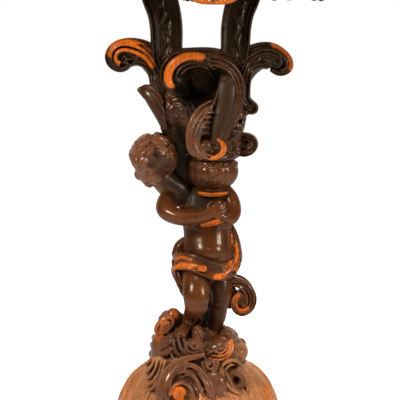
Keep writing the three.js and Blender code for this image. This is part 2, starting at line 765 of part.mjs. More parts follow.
/** The right scroll, whose lower end rolls into a console. */
const scrollRight = () =>
  join(
    sideScroll(
      [
        [80, 0, 664, 14, 17], [79, 0, 690, 16, 18], [84, 0, 716, 19, 18], [95, 0, 740, 23, 18],
        [112, 0, 756, 25, 16], [132, 0, 760, 24, 14], [150, 0, 752, 25, 12],
      ],
      [
        [84, 0, 758, 7, 19], [104, 0, 776, 7, 20], [123, 0, 780, 7, 20], [140, 0, 778, 7, 19],
        [155, 0, 771, 7, 19], [168, 0, 759, 7, 18], [173, 0, 747, 7, 17], [171, 0, 736, 7, 17],
        [161, 0, 729, 6, 16], [147, 0, 729, 6, 15], [138, 0, 736, 5, 13],
      ],
    ),
    blob([97, 0, 659], [16, 17, 14], { sides: 7, rows: 4 }),
  );

// ---- Uprights and top ----

/** An upright: it rises beside the trunk, flares outwards and ends in a tenon in the cleat. */
function upright(side, slimmer) {
  const post = loft(
    [
      [58, 726, 20, 22], [66, 752, 28, 26], [68.5, 780, 31, 28], [69.5, 812, 32, 28], [74, 842, 33, 29],
      [84, 872, 34, 31], [90, 900, 36, 32],
    ].map(([x, z, across, deep]) => [side * (x - slimmer), 0, z, across - slimmer, deep]),
    { section: BAND, steps: 9 },
  );
  const shoulder = CLEAT_UNDERSIDE - SHOULDER_GAP;
  const [tenonWidth, tenonDepth, tenonHeight] = TENON;
  const overlap = 10;
  const tall = tenonHeight + overlap;
  const above = block([200, 200, 100], [side * 90, 0, shoulder + 50]);
  const tenon = block([tenonWidth, tenonDepth, tall], [side * 86, 0, shoulder - overlap + tall / 2]);
  return join(carve(post, above), tenon);
}

/** The cleat across the uprights, with round ends. */
function topCleat() {
  const [length, width, thick] = CLEAT_SIZE;
  const outline = new THREE.Shape();
  const reach = length / 2 - width / 2;
  outline.absarc(reach, 0, width / 2, -Math.PI / 2, Math.PI / 2);
  outline.absarc(-reach, 0, width / 2, Math.PI / 2, (3 * Math.PI) / 2);
  const prism = { depth: thick, bevelEnabled: false, curveSegments: 3 };
  const geometry = new THREE.ExtrudeGeometry(outline, prism);
  geometry.translate(0, 0, CLEAT_UNDERSIDE);
  return solidOf(geometry);
}

/** The round top, with a moulded edge over the apron. */
function topBoard() {
  const [r, low] = [TOP_RADIUS, TOP_UNDERSIDE];
  const profile = [
    [0, low], [r - 12, low], [r - 2, low + 7], [r, low + 14], [r - 6, HEIGHT], [0, HEIGHT],
  ];
  return turned(profile, 28);
}

/**
 * A bent piece of the apron. Its lower edge hangs by drop(u) and its face swells by relief(u),
 * where u runs from -1 to 1 along the piece.
 */
function apronPiece(turn, drop, relief) {
  const steps = 8;
  const clearance = GLUE_GAP / APRON_RADIUS;
  const rings = Array.from({ length: steps + 1 }, (_, i) => {
    const u = (i / steps) * 2 - 1;
    const angle = turn + u * (Math.PI / APRON_PIECES - clearance);
    const [low, swell] = [drop(u), relief(u)];
    const section = [
      [-7, 0], [6, 0], [7 + swell, -low * 0.5], [5 + swell * 0.7, -low * 0.85], [-2, -low], [-7, -low * 0.9],
    ];
    return section.map(([out, down]) => {
      const reach = APRON_RADIUS + out;
      return new THREE.Vector3(reach * Math.sin(angle), -reach * Math.cos(angle), APRON_TOP + down);
    });
  });
  return skin(rings, middleOf(rings[0]), middleOf(rings.at(-1)));
}

const apronShell = (turn) =>
  apronPiece(
    turn,
    (u) => APRON_DROP * (0.5 + 0.5 * Math.cos((u * Math.PI) / 2) ** 0.7),
    (u) => 9 * Math.cos((u * Math.PI) / 2),
  );

const apronScroll = (turn) =>
  apronPiece(
    turn,
    (u) => APRON_DROP * (0.5 + 0.34 * Math.abs(Math.sin(u * Math.PI)) ** 0.6),
    (u) => 7 * Math.abs(Math.sin(u * Math.PI)),
  );

// ---- Assembly: each piece is cut back by the room that the ones seated before it need ----
const stand = new THREE.Group();
const rooms = [];

function touches(a, b) {
  const [boxA, boxB] = [a.boundingBox(), b.boundingBox()];
  return [0, 1, 2].every((i) => boxA.min[i] < boxB.max[i] && boxB.min[i] < boxA.max[i]);
}

function seat(name, material, solid) {
  const cut = largest(carve(solid, ...rooms.filter((room) => touches(room, solid))));
  rooms.push(roomFor(solid));
  const mesh = new THREE.Mesh(geometryOf(cut), material);
  mesh.name = name;
  stand.add(mesh);
}

for (const [k, spot] of plinthScrewSpots().entries()) {
  seat(`plinth_screw_${k + 1}`, STEEL, woodScrew(spot, PLINTH_SCREW_DEPTH, 46));
}
for (const [k, [x, y]] of [[-1, -1], [1, -1], [1, 1], [-1, 1]].entries()) {
  const spot = [x * CLEAT_SCREW_REACH, y * CLEAT_SCREW_REACH];
  seat(`cleat_screw_${k + 1}`, STEEL, woodScrew(spot, CLEAT_UNDERSIDE, 34));
}
seat("base_dowel", BEECH, dowel([0, 20], 100, 176));
seat("figure_dowel", BEECH, dowel([10, 16], 290, 356));
seat("urn_dowel", BEECH, dowel(URN_CENTRE, 446, 520));
seat("trunk_dowel", BEECH, dowel(URN_CENTRE, 534, 592));

seat("plinth", WALNUT, plinth());
seat("base_dome", PALE_WALNUT, baseDome());
seat("rock_mound", PALE_WALNUT, rockMound());
seat("leg_stump", WALNUT, legStump());
seat("torso", WALNUT, torso());
seat("urn", WALNUT, urn());
seat("trunk", WALNUT, trunk());
seat("left_upright", WALNUT, upright(-1, 0));
seat("right_upright", WALNUT, upright(1, RIGHT_UPRIGHT_SLIMMER));
seat("top_cleat", WALNUT, topCleat());
seat("top_board", WALNUT, topBoard());
seat("left_scroll", WALNUT, scrollLeft());
seat("right_scroll", WALNUT, scrollRight());
seat("crown_scroll_left", HONEY, crownScrollLeft());
seat("crown_scroll_right", WALNUT, crownScrollRight());
seat("front_leaf", WALNUT, frontLeaf());
seat("left_leaf", WALNUT, leftLeaf());
seat("back_leaf", WALNUT, backLeaf());
seat("small_scroll", WALNUT, smallScroll());
seat("head", WALNUT, head());
seat("right_leg", WALNUT, rightLeg());
seat("left_leg", WALNUT, leftLeg());
seat("right_arm", WALNUT, rightArm());
seat("left_arm", WALNUT, leftArm());
seat("waist_drapery", WALNUT, waistDrapery());
seat("drapery_fall", WALNUT, draperyFall());
seat("side_drapery", WALNUT, sideDrapery());
seat("drapery_scroll", HONEY, draperyScroll());
seat("sash", HONEY, sash());
seat("rock_left", PALE_WALNUT, rockLeft());
seat("rock_front_shell", PALE_WALNUT, rockFrontShell());
seat("rock_right_rings", PALE_WALNUT, rockRightRings());
seat("rock_right_knob", PALE_WALNUT, rockRightKnob());
seat("base_scroll_front", PALE_WALNUT, baseScrollFront());
seat("base_scroll_right", HONEY, baseScrollRight());
seat("base_scroll_back", PALE_WALNUT, baseScrollBack());
seat("base_leaf_left", PALE_WALNUT, baseLeafLeft());
seat("base_shell_front", PALE_WALNUT, baseShellFront());
for (let k = 0; k < APRON_PIECES; k++) {
  const turn = APRON_TURN + (k / APRON_PIECES) * TAU;
  const [name, make] = k % 2 ? ["apron_scroll", apronScroll] : ["apron_shell", apronShell];
  seat(`${name}_${Math.floor(k / 2) + 1}`, WALNUT, make(turn));
}

export default stand;
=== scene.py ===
"""A carved walnut torchere: the looks of every piece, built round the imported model.

Shapes are drawn in millimetres in the stand's own frame (+Z up, the front faces -Y) and are
turned to metres when a piece is finished. A station is (x, y, z, across, deep): a place on a
path and half the size of the section there.
"""

import json
import math
import random

import bmesh
import bpy
import numpy as np
from mathutils import Matrix, Vector
from mathutils.bvhtree import BVHTree


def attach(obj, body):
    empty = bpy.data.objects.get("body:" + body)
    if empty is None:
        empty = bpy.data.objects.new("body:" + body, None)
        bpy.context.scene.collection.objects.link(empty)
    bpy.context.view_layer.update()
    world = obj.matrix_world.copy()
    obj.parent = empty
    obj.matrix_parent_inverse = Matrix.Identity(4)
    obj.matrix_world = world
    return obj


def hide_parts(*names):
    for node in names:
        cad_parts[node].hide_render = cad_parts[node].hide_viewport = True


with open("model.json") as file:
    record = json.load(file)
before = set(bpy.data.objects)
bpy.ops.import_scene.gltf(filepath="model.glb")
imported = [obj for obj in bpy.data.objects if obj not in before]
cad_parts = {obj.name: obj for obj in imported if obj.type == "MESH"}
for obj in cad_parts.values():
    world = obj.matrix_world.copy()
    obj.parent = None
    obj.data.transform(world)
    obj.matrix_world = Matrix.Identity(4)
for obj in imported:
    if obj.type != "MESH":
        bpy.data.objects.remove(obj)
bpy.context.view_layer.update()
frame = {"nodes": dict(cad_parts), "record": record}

MM = 0.001
TAU = 2 * math.pi
GLUE_GAP = 0.4
HEIGHT = 930
TOP_RADIUS = 250
TOP_THICK = 22
APRON_TOP = HEIGHT - TOP_THICK - GLUE_GAP
APRON_RADIUS = 226
APRON_PIECES = 8
APRON_TURN = math.radians(5)
URN_CENTRE = (25, 0)
URN_FOOT = 482
URN_TOP = 553
PLINTH_RADIUS = 168
PLINTH_THICK = 24
DOME_TOP = 144


# ---- Paths, sections and lofts ----

def spline(stations, steps):
    """Rows on a smooth curve through the stations, sizes included."""
    rows = [Vector(row) for row in stations]
    rows = [2 * rows[0] - rows[1], *rows, 2 * rows[-1] - rows[-2]]
    dense = []
    for before, here, there, after in zip(rows, rows[1:], rows[2:], rows[3:]):
        for k in range(steps):
            t = k / steps
            square = 2 * before - 5 * here + 4 * there - after
            cube = 3 * here - before - 3 * there + after
            dense.append(0.5 * (2 * here + (there - before) * t + square * t * t + cube * t ** 3))
    return dense + [rows[-2]]


def oval(sides):
    """A round section."""
    return [(math.cos(TAU * k / sides), math.sin(TAU * k / sides)) for k in range(sides)]


REAR_POINTS = 7


def ridged(ridges, floor=0.35, points=25, both=False):
    """A section whose front, at v below 0, carries round ridges (centre, half width, height)."""
    front = []
    for k in range(points):
        u = -1 + 2 * k / (points - 1)
        bumps = [h * math.sqrt(max(0, 1 - ((u - c) / w) ** 2)) for c, w, h in ridges]
        front.append((u, -floor - max(0, *bumps)))
    if both:
        return front + [(u, -v) for u, v in reversed(front)]
    rear = []
    for k in range(1, REAR_POINTS):
        angle = math.pi * k / REAR_POINTS
        rear.append((math.cos(angle), math.sin(angle)))
    return front + rear


BAND = ridged([(-0.84, 0.16, 0.6), (-0.5, 0.16, 0.4), (0.0, 0.26, 0.16), (0.5, 0.16, 0.4),
               (0.84, 0.16, 0.6)])
FILLETS = ridged([(-0.78, 0.22, 0.62), (-0.33, 0.2, 0.5), (0.1, 0.2, 0.5), (0.72, 0.28, 0.6)])
FOLDS = ridged([(-0.75, 0.28, 0.65), (-0.15, 0.26, 0.4), (0.32, 0.2, 0.6), (0.78, 0.24, 0.45)], floor=0.3)
TUFT = [(-1, 0.5), (-0.8, -0.35), (-0.3, -0.9), (0.12, -1), (0.55, -0.6), (0.92, 0.1), (1, 0.6), (0, 0.9)]
SMOOTH = oval(20)
SMALL = oval(10)


def places(rows, back):
    """A matrix for each row: across, back and along the path, scaled by the row's sizes."""
    found = []
    way = Vector(back(Vector(rows[0][:3])) if callable(back) else back)
    for k, row in enumerate(rows):
        here = Vector(row[:3])
        ahead = Vector(rows[min(k + 1, len(rows) - 1)][:3])
        behind = Vector(rows[max(k - 1, 0)][:3])
        along = (ahead - behind).normalized()
        if callable(back):
            way = Vector(back(here))
        elif len(row) > 5:
            way = Vector(row[5:8])
        way = (way - along * way.dot(along)).normalized()
        across = along.cross(way)
        size = [max(0.15, abs(row[3])), max(0.15, abs(row[4]))]
        matrix = Matrix.Identity(4)
        matrix.col[0][:3] = across * size[0]
        matrix.col[1][:3] = way * size[1]
        matrix.col[2][:3] = along * min(size)
        matrix.col[3][:3] = here
        found.append(matrix)
    return found


def take_in(bm, other):
    """Adds a small bmesh to a large one and frees it."""
    mesh = bpy.data.meshes.new("strip")
    other.to_mesh(mesh)
    other.free()
    bm.from_mesh(mesh)
    bpy.data.meshes.remove(mesh)


def loft(bm, stations, section, back=(0, 1, 0), steps=5, blunt=0.7):
    """Carries a section along the stations. Blunt is how far each end bulges; the ends are closed."""
    stations = [(*row, row[3]) if len(row) == 4 else tuple(row) for row in stations]
    matrices = places(spline(stations, steps), back)
    for at, end in ((0, -1), (len(matrices), 1)):
        last = matrices[0] if end < 0 else matrices[-1]
        caps = [last @ Matrix.LocRotScale((0, 0, end * blunt * rise), None, (shrink, shrink, 1))
                for rise, shrink in ((0.45, 0.86), (0.8, 0.6), (0.97, 0.3))]
        if blunt:
            matrices[at:at] = caps[::-1] if end < 0 else caps
            at += 3
    strip = bmesh.new()
    ring = [strip.verts.new((u, v, 0)) for u, v in section]
    edges = [strip.edges.new(pair) for pair in zip(ring, ring[1:] + ring[:1])]
    first = edges
    bmesh.ops.transform(strip, matrix=matrices[0], verts=ring)
    for now, then in zip(matrices, matrices[1:]):
        grown = bmesh.ops.extrude_edge_only(strip, edges=edges)["geom"]
        fresh = [item for item in grown if isinstance(item, bmesh.types.BMVert)]
        new = set(fresh)
        edges = [item for item in grown
                 if isinstance(item, bmesh.types.BMEdge) and new.issuperset(item.verts)]
        bmesh.ops.transform(strip, matrix=then @ now.inverted(), verts=fresh)
    bmesh.ops.contextual_create(strip, geom=first)
    bmesh.ops.contextual_create(strip, geom=edges)
    take_in(bm, strip)


def stroke(bm, points, width, height, back=(0, 1, 0), section=TUFT, steps=4, fat=0.5):
    """A tapered ridge through the points. A fat of 0 is widest at its start, 1 at its end."""
    last = len(points) - 1
    stations = []
    for k, point in enumerate(points):
        t = k / last
        lean = t ** (math.log(0.5) / math.log(min(0.95, max(0.05, fat))))
        swell = max(0.16, math.sin(math.pi * (0.06 + 0.88 * lean)) ** 0.6)
        stations.append((*point[:3], width * swell, height * swell, *point[3:]))
    loft(bm, stations, section, back, steps, blunt=0.5)


def strokes(bm, runs, deepen, back=(0, 1, 0)):
    """A fine stroke for each (points, width) of the runs, whose height is deepen times the width."""
    for points, width in runs:
        stroke(bm, points, width, width * deepen, back, section=SMALL, steps=6)


def cord(bm, points, across, deep, section=SMALL, steps=6, blunt=0.7):
    """An even run through the points, of one size from end to end."""
    loft(bm, [(*point, across, deep) for point in points], section, steps=steps, blunt=blunt)


def lump(bm, centre, radii, turn=(0, 0, 0), rings=10):
    """A rounded lump with its own three radii, for a skin to melt over."""
    angles = [math.radians(a) for a in turn]
    place = Matrix.LocRotScale(Vector(centre), None, None)
    place = place @ Matrix.Rotation(angles[2], 4, "Z") @ Matrix.Rotation(angles[1], 4, "Y")
    place = place @ Matrix.Rotation(angles[0], 4, "X") @ Matrix.Diagonal((*radii, 1))
    ball = bmesh.new()
    bmesh.ops.create_uvsphere(ball, u_segments=2 * rings, v_segments=rings, radius=1, matrix=place)
    take_in(bm, ball)


def turned(bm, profile, centre=(0, 0), sides=96):
    """A profile of (radius, z) spun round an upright axis; it starts and ends on the axis."""
    line = [bm.verts.new((centre[0] + r, centre[1], z)) for r, z in profile]
    edges = [bm.edges.new(pair) for pair in zip(line, line[1:])]
    bmesh.ops.spin(bm, geom=line + edges, cent=(*centre, 0), axis=(0, 0, 1), angle=TAU, steps=sides,
                   use_merge=True)
    bmesh.ops.remove_doubles(bm, verts=bm.verts, dist=0.001)


def curl(centre, radii, angles, sizes, deep, stops):
    """Stations round a curl in the plane that faces the front, drawing in as it goes."""
    x, y, z = centre
    stations = []
    for k in range(stops):
        t = k / (stops - 1)
        radius = radii[0] + (radii[1] - radii[0]) * t
        angle = math.radians(angles[0] + (angles[1] - angles[0]) * t)
        size = sizes[0] + (sizes[1] - sizes[0]) * t
        stations.append((x + radius * math.cos(angle), y, z + radius * math.sin(angle), size, deep))
    return stations


def melted(bm, voxel, rubs):
    """One skin round all the solids, smoothed as carving is by sanding."""
    mesh = bpy.data.meshes.new("melting")
    bm.to_mesh(mesh)
    bm.free()
    body = bpy.data.objects.new("melting", mesh)
    bpy.context.scene.collection.objects.link(body)
    skin = body.modifiers.new("skin", "REMESH")
    skin.mode = "VOXEL"
    skin.voxel_size = voxel
    if rubs:
        rub = body.modifiers.new("rub", "SMOOTH")
        rub.factor = 0.5
        rub.iterations = rubs
    view = body.evaluated_get(bpy.context.evaluated_depsgraph_get())
    result = bmesh.new()
    result.from_mesh(view.data)
    bpy.data.objects.remove(body)
    bpy.data.meshes.remove(mesh)
    return result


class Ground:
    """A carved surface that finer carving is laid on."""

    def __init__(self, bm):
        bm.normal_update()
        self.tree = BVHTree.FromBMesh(bm)

    def laid(self, spots, side=0, sink=0.0):
        """Rows (x, y, z, back) on the surface under spots (across, z), seen from a side in degrees."""
        turn = Matrix.Rotation(math.radians(side), 3, "Z")
        rows = []
        for across, z in spots:
            start = turn @ Vector((across, -400, z))
            spot, normal, _, _ = self.tree.ray_cast(start, turn @ Vector((0, 1, 0)), 400)
            if spot is None:
                spot, normal, _, _ = self.tree.find_nearest(turn @ Vector((across, -40, z)))
            rows.append((*(spot - normal * sink), *(-normal)))
        return rows


# The share of a laid ridge's height that is sunk in the surface under it.
SUNK = 0.3


def ridge(bm, ground, spots, width, height, side=0, section=TUFT, steps=4, fat=0.5):
    """A tapered ridge laid on a surface."""
    rows = ground.laid(spots, side, SUNK * height)
    stroke(bm, rows, width, height, section=section, steps=steps, fat=fat)


# ---- Profiles and dishes ----

def arc(centre, radius, start, stop, steps):
    """Profile points (r, z) round a centre, from one angle in degrees to another."""
    points = []
    for k in range(steps + 1):
        angle = math.radians(start + (stop - start) * k / steps)
        points.append((centre[0] + radius * math.cos(angle), centre[1] + radius * math.sin(angle)))
    return points


def moved(bm, shift):
    """Moves each vertex by shift(place), which gives a vector or None."""
    for vert in bm.verts:
        step = shift(vert.co)
        if step is not None:
            vert.co += step


def bump(place, centre, radii):
    """1 at the centre of an ellipsoid, falling smoothly to 0 at its skin."""
    reach = math.sqrt(sum(((p - c) / r) ** 2 for p, c, r in zip(place, centre, radii)))
    near = max(0.0, 1 - reach)
    return near * near * (3 - 2 * near)


def dished(bm, depth, centre, radii, limit=math.inf, gain=1):
    """Sinks a dish backwards into the carving where y is below a limit. Gain flattens its floor."""
    def sunk(place):
        if place.y < limit:
            return Vector((0, depth, 0)) * min(1, gain * bump(place, centre, radii))
        return None

    moved(bm, sunk)


# ---- Plinth and dome ----

def plinth():
    """The round plinth: a fillet, a round nosing and a step up to the dome."""
    bm = bmesh.new()
    r = PLINTH_RADIUS
    nosing = arc((r - 7, 8), 7, -90, 90, 12)
    cove = arc((r - 4, 20), 4.5, 250, 180, 6)
    turned(bm, [(0, 0), (r - 10, 0), *nosing, *cove, (r - 10, PLINTH_THICK), (0, PLINTH_THICK)])
    return bm


DOME_PROFILE = [(157, 24), (161, 30), (161, 40), (159, 56), (152, 76), (146, 90), (134, 110), (118, 127),
                (104, 136), (97, 144)]
DOME_LOBES = 8
LOBE_START = 0.3
CARVING_TURN = 11


def dome():
    """The lobed dome with its raised borders, leaves and loops all round."""
    bm = bmesh.new()
    profile = [tuple(row) for row in spline([(*p, 0) for p in DOME_PROFILE], 5)]
    turned(bm, [(0, 24), *[row[:2] for row in profile], (0, DOME_TOP)], sides=192)

    def lobe(place):
        angle = math.atan2(place.y, place.x)
        fade = min(1, max(0, (DOME_TOP - place.z) / 50)) * min(1, max(0, (place.z - 30) / 14))
        pinch = abs(math.sin(angle * DOME_LOBES / 2 + LOBE_START)) ** 8
        out = Vector((place.x, place.y, 0))
        if out.length < 60:
            return None
        return out * (-0.06 * pinch * fade)

    moved(bm, lobe)
    ground = Ground(bm)
    for k in range(DOME_LOBES):
        side = math.degrees((k + 0.5) * TAU / DOME_LOBES - LOBE_START / (DOME_LOBES / 2)) + CARVING_TURN
        for flip in (-1, 1):
            sweep = [(flip * 30, 132), (flip * 40, 112), (flip * 44, 86), (flip * 40, 60), (flip * 26, 44),
                     (flip * 12, 50), (flip * 12, 62), (flip * 21, 66)]
            ridge(bm, ground, sweep, 4.2, 4.5, side, section=SMALL, fat=0.4, steps=5)
            vein = [(flip * 23, 124), (flip * 31, 104), (flip * 34, 84), (flip * 28, 68)]
            ridge(bm, ground, vein, 2.2, 3, side, section=SMALL)
        for lift, reach in ((46, 10), (60, 14), (76, 15), (92, 12)):
            for flip in (-1, 1):
                leaf = [(0, lift - 6), (flip * reach * 0.6, lift), (flip * reach, lift + 11)]
                ridge(bm, ground, leaf, 4.4, 3.4, side, fat=0.6)
        ridge(bm, ground, [(0, 38), (0, 70), (0, 108)], 2.6, 4, side, section=SMALL, fat=0.3)
    return melted(bm, 1.9, 1)


def base_scroll_front():
    """The big C scroll in front: an outer band, an arch full of leaf, and a button in its eye."""
    bm = bmesh.new()
    outer = [(-74, -132, 84), (-74, -131, 100), (-72, -128, 122), (-65, -121, 144), (-51, -115, 160),
             (-32, -112, 172), (-12, -110, 178), (11, -108, 183)]
    sizes = [(7, 7), (8, 8), (8.5, 9), (8.5, 9), (8, 9), (7, 8), (5.5, 6), (3, 4)]
    loft(bm, [(*p, *s) for p, s in zip(outer, sizes)], FILLETS, steps=6)
    arch = [(-60, -140, 86), (-58, -134, 122), (-51, -128, 142), (-35, -122, 158), (-20, -120, 165),
            (-4, -120, 161), (11, -124, 148), (23, -130, 128), (28, -138, 100), (28, -142, 84)]
    cord(bm, arch, 5, 7, ridged([(-0.6, 0.35, 0.6), (0.5, 0.35, 0.6)]))
    lump(bm, (-18, -112, 118), (44, 20, 44))
    lump(bm, (30, -112, 118), (30, 18, 34))
    lump(bm, (-70, -112, 116), (14, 14, 34))
    for spots in ([(-38, 150), (-26, 156), (-12, 151), (0, 141)],
                  [(-30, 144), (-19, 150), (-8, 143), (0, 131)],
                  [(-22, 152), (-10, 147), (2, 133), (8, 118)], [(-10, 140), (2, 128), (12, 120)],
                  [(-4, 128), (6, 118), (14, 106)], [(0, 152), (10, 140), (17, 124), (20, 106)],
                  [(-12, 132), (-4, 120), (0, 106)]):
        rows = [(x, -131 - 0.1 * (150 - z), z) for x, z in spots]
        stroke(bm, rows, 4.2, 5, fat=0.4)
    body = melted(bm, 1.15, 1)
    dished(body, 9, (-44, -136, 136), (14, 24, 26))
    ring = [(-54, -142, 112), (-51, -143, 124), (-42, -143, 134), (-31, -143, 137), (-18, -143, 131),
            (-10, -144, 119), (-8, -146, 105), (-10, -147, 92)]
    cord(body, ring, 3.6, 6)
    button = curl((-33, -144, 117), (10.5, 3.0), (275, -60), (8.0, 6.0), 8, stops=9)
    loft(body, button, SMOOTH, steps=5)
    return melted(body, 1.29, 1)


def base_scroll_right():
    """The leafy scroll on the right, open at its eye, with pale lips and curled lobes."""
    bm = bmesh.new()
    strokes(bm, (
        ([(44, -104, 148), (48, -104, 161), (58, -102, 169), (70, -98, 169), (80, -94, 162),
          (84, -92, 152)], 4.4),
        ([(49, -108, 146), (56, -108, 157), (66, -106, 162), (75, -102, 157)], 3.4),
        ([(82, -90, 162), (94, -88, 147), (98, -90, 129), (96, -96, 110), (86, -104, 96)], 5.0),
        ([(45, -108, 149), (52, -112, 133), (64, -114, 117), (78, -112, 109), (90, -102, 112)], 4.6),
        ([(54, -110, 150), (60, -113, 138), (66, -114, 126)], 3.6),
        ([(82, -98, 149), (90, -96, 139), (93, -96, 127), (86, -100, 116)], 4.2),
        ([(41, -114, 137), (47, -118, 117), (59, -120, 101), (75, -116, 92)], 4.4),
        ([(70, -110, 146), (80, -106, 140), (84, -104, 130), (78, -106, 122)], 3.8),
    ), 1.5)
    lump(bm, (66, -88, 124), (32, 20, 40), rings=14)
    lump(bm, (44, -98, 130), (16, 18, 32), rings=12)
    lump(bm, (56, -100, 130), (13, 14, 18), rings=12)
    body = melted(bm, 1.15, 1)
    dished(body, 16, (75, -106, 131), (12, 26, 12))
    dished(body, 12, (68, -104, 158), (15, 22, 6))
    dished(body, 10, (88, -98, 110), (9, 22, 9))
    return body


def base_scroll_back():
    """The scroll on the back of the dome, with leaves in its arch."""
    bm = bmesh.new()
    band = [(52, 128, 84, 7, 8), (46, 120, 110, 9, 9), (26, 110, 138, 10, 10), (-2, 108, 155, 10, 10),
            (-32, 112, 150, 10, 10), (-46, 122, 124, 9, 9), (-38, 133, 100, 8, 8), (-18, 137, 92, 6, 7),
            (-6, 134, 106, 5, 6), (-16, 130, 116, 4, 5)]
    loft(bm, band, FILLETS, back=(0, -1, 0), steps=7)
    lump(bm, (0, 110, 116), (40, 20, 36))
    for spots in ([(-30, 126, 140), (-14, 128, 142), (2, 128, 132), (10, 130, 116)],
                  [(36, 128, 112), (22, 130, 126), (6, 128, 134)],
                  [(34, 132, 96), (20, 134, 108), (6, 132, 118)],
                  [(24, 134, 88), (10, 136, 98), (0, 134, 108)]):
        stroke(bm, spots, 5, 5, back=(0, -1, 0), fat=0.45)
    return melted(bm, 1.46, 1)


def base_leaf_left():
    """The leaf on the dome's left shoulder: five ribs that hang side by side."""
    bm = bmesh.new()
    for rows, size in (
        ([(-63, -96, 168), (-66, -104, 158), (-69, -108, 145), (-77, -110, 127), (-88, -108, 114),
          (-101, -102, 110)], 5.2),
        ([(-71, -94, 167), (-75, -102, 148), (-83, -106, 132), (-93, -104, 122), (-105, -98, 118)], 4.6),
        ([(-79, -90, 167), (-83, -98, 152), (-89, -102, 140), (-97, -100, 132), (-107, -94, 129)], 4.4),
        ([(-86, -86, 168), (-91, -94, 156), (-97, -96, 147), (-106, -90, 140)], 4.2),
        ([(-92, -80, 170), (-98, -88, 161), (-107, -84, 154)], 4.0),
    ):
        stroke(bm, rows, size * 0.86, size * 1.7, back=(0.4, 0.9, 0), section=SMALL, steps=6, fat=0.6)
    for x, z in ((-60, 150), (-64, 136), (-70, 122)):
        stroke(bm, [(x, -106, z + 8), (x + 5, -110, z), (x + 3, -110, z - 9)], 3.2, 4)
    lump(bm, (-80, -80, 140), (24, 14, 32))
    return melted(bm, 1.29, 1)


def base_shell_front():
    """The small nested shell above the front scroll's end."""
    bm = bmesh.new()
    for rows, size in (
        ([(8, -110, 168), (9, -112, 160), (14, -113, 151), (23, -114, 147), (33, -113, 153),
          (37, -111, 164), (37, -108, 172)], 3.4),
        ([(14, -113, 171), (19, -115, 158), (29, -115, 158), (31, -113, 171)], 3.2),
    ):
        cord(bm, rows, size, size * 1.4, steps=5)
    lump(bm, (23, -102, 158), (17, 10, 16))
    lump(bm, (21, -112, 166), (4.5, 4.5, 4.5))
    lump(bm, (27, -112, 172), (4, 4, 4))
    lump(bm, (8, -96, 146), (16, 12, 14))
    return melted(bm, 1.12, 1)


# ---- Rockwork ----

def rock_mound():
    """The craggy mound that both feet stand on, with rolls and clefts all round."""
    bm = bmesh.new()
    low = DOME_TOP + 0.6
    profile = [(0, low), (93, low), (97, 152), (92, 168), (82, 184), (62, 198), (36, 206), (0, 206)]
    turned(bm, profile, sides=64)
    for centre, radii in (
        ((-34, -32, 182), (42, 46, 36)), ((-50, 10, 196), (34, 38, 48)), ((32, -26, 164), (44, 48, 30)),
        ((34, 26, 184), (30, 32, 34)), ((-20, 48, 176), (36, 36, 34)), ((30, 50, 170), (32, 34, 26)),
        ((56, -4, 178), (26, 30, 34)), ((-2, -20, 200), (34, 34, 18)), ((-62, -8, 226), (20, 24, 20)),
        ((58, -22, 202), (17, 20, 19)), ((60, 8, 190), (20, 22, 18)),
    ):
        lump(bm, centre, radii)
    body = melted(bm, 2.0, 2)

    def crag(place):
        angle = math.atan2(place.y, place.x)
        wave = math.sin(7 * angle + place.z * 0.12) + 0.7 * math.sin(12 * angle - place.z * 0.2 + 1)
        fade = min(1, max(0, (place.z - 147) / 12))
        return Vector((place.x, place.y, place.z - 170)).normalized() * wave * 1.6 * fade

    moved(body, crag)
    ground = Ground(body)
    rolls = random.Random(11)
    for side in range(60, 330, 24):
        for row in range(3):
            x = rolls.uniform(-8, 8)
            z = 158 + row * 17 + rolls.uniform(-3, 3)
            bend = rolls.choice((-1, 1))
            spots = [(x + across, z + rise * bend)
                     for across, rise in ((-14, 4), (-4, -3), (6, -4), (15, 3))]
            ridge(body, ground, spots, 4.5, 5, side, section=SMALL)
    front = (
        [(-50, 222), (-42, 212), (-30, 205), (-14, 203)], [(-30, 224), (-20, 214), (-8, 208)],
        [(-6, 222), (2, 214), (12, 210), (24, 212)], [(-36, 196), (-44, 184), (-52, 176)],
        [(8, 204), (16, 196), (28, 194), (40, 198)], [(38, 214), (46, 206), (56, 206)],
        [(44, 218), (56, 218), (66, 208), (68, 194)], [(50, 210), (58, 208), (62, 200)],
        [(-70, 166), (-54, 160), (-40, 164)], [(4, 190), (14, 184), (22, 186)],
        [(-56, 246), (-62, 238), (-66, 230)], [(64, 172), (72, 164), (84, 162)],
    )
    for spots in front:
        ridge(body, ground, spots, 4.2, 5, 0, section=SMALL)
    return melted(body, 1.68, 1)


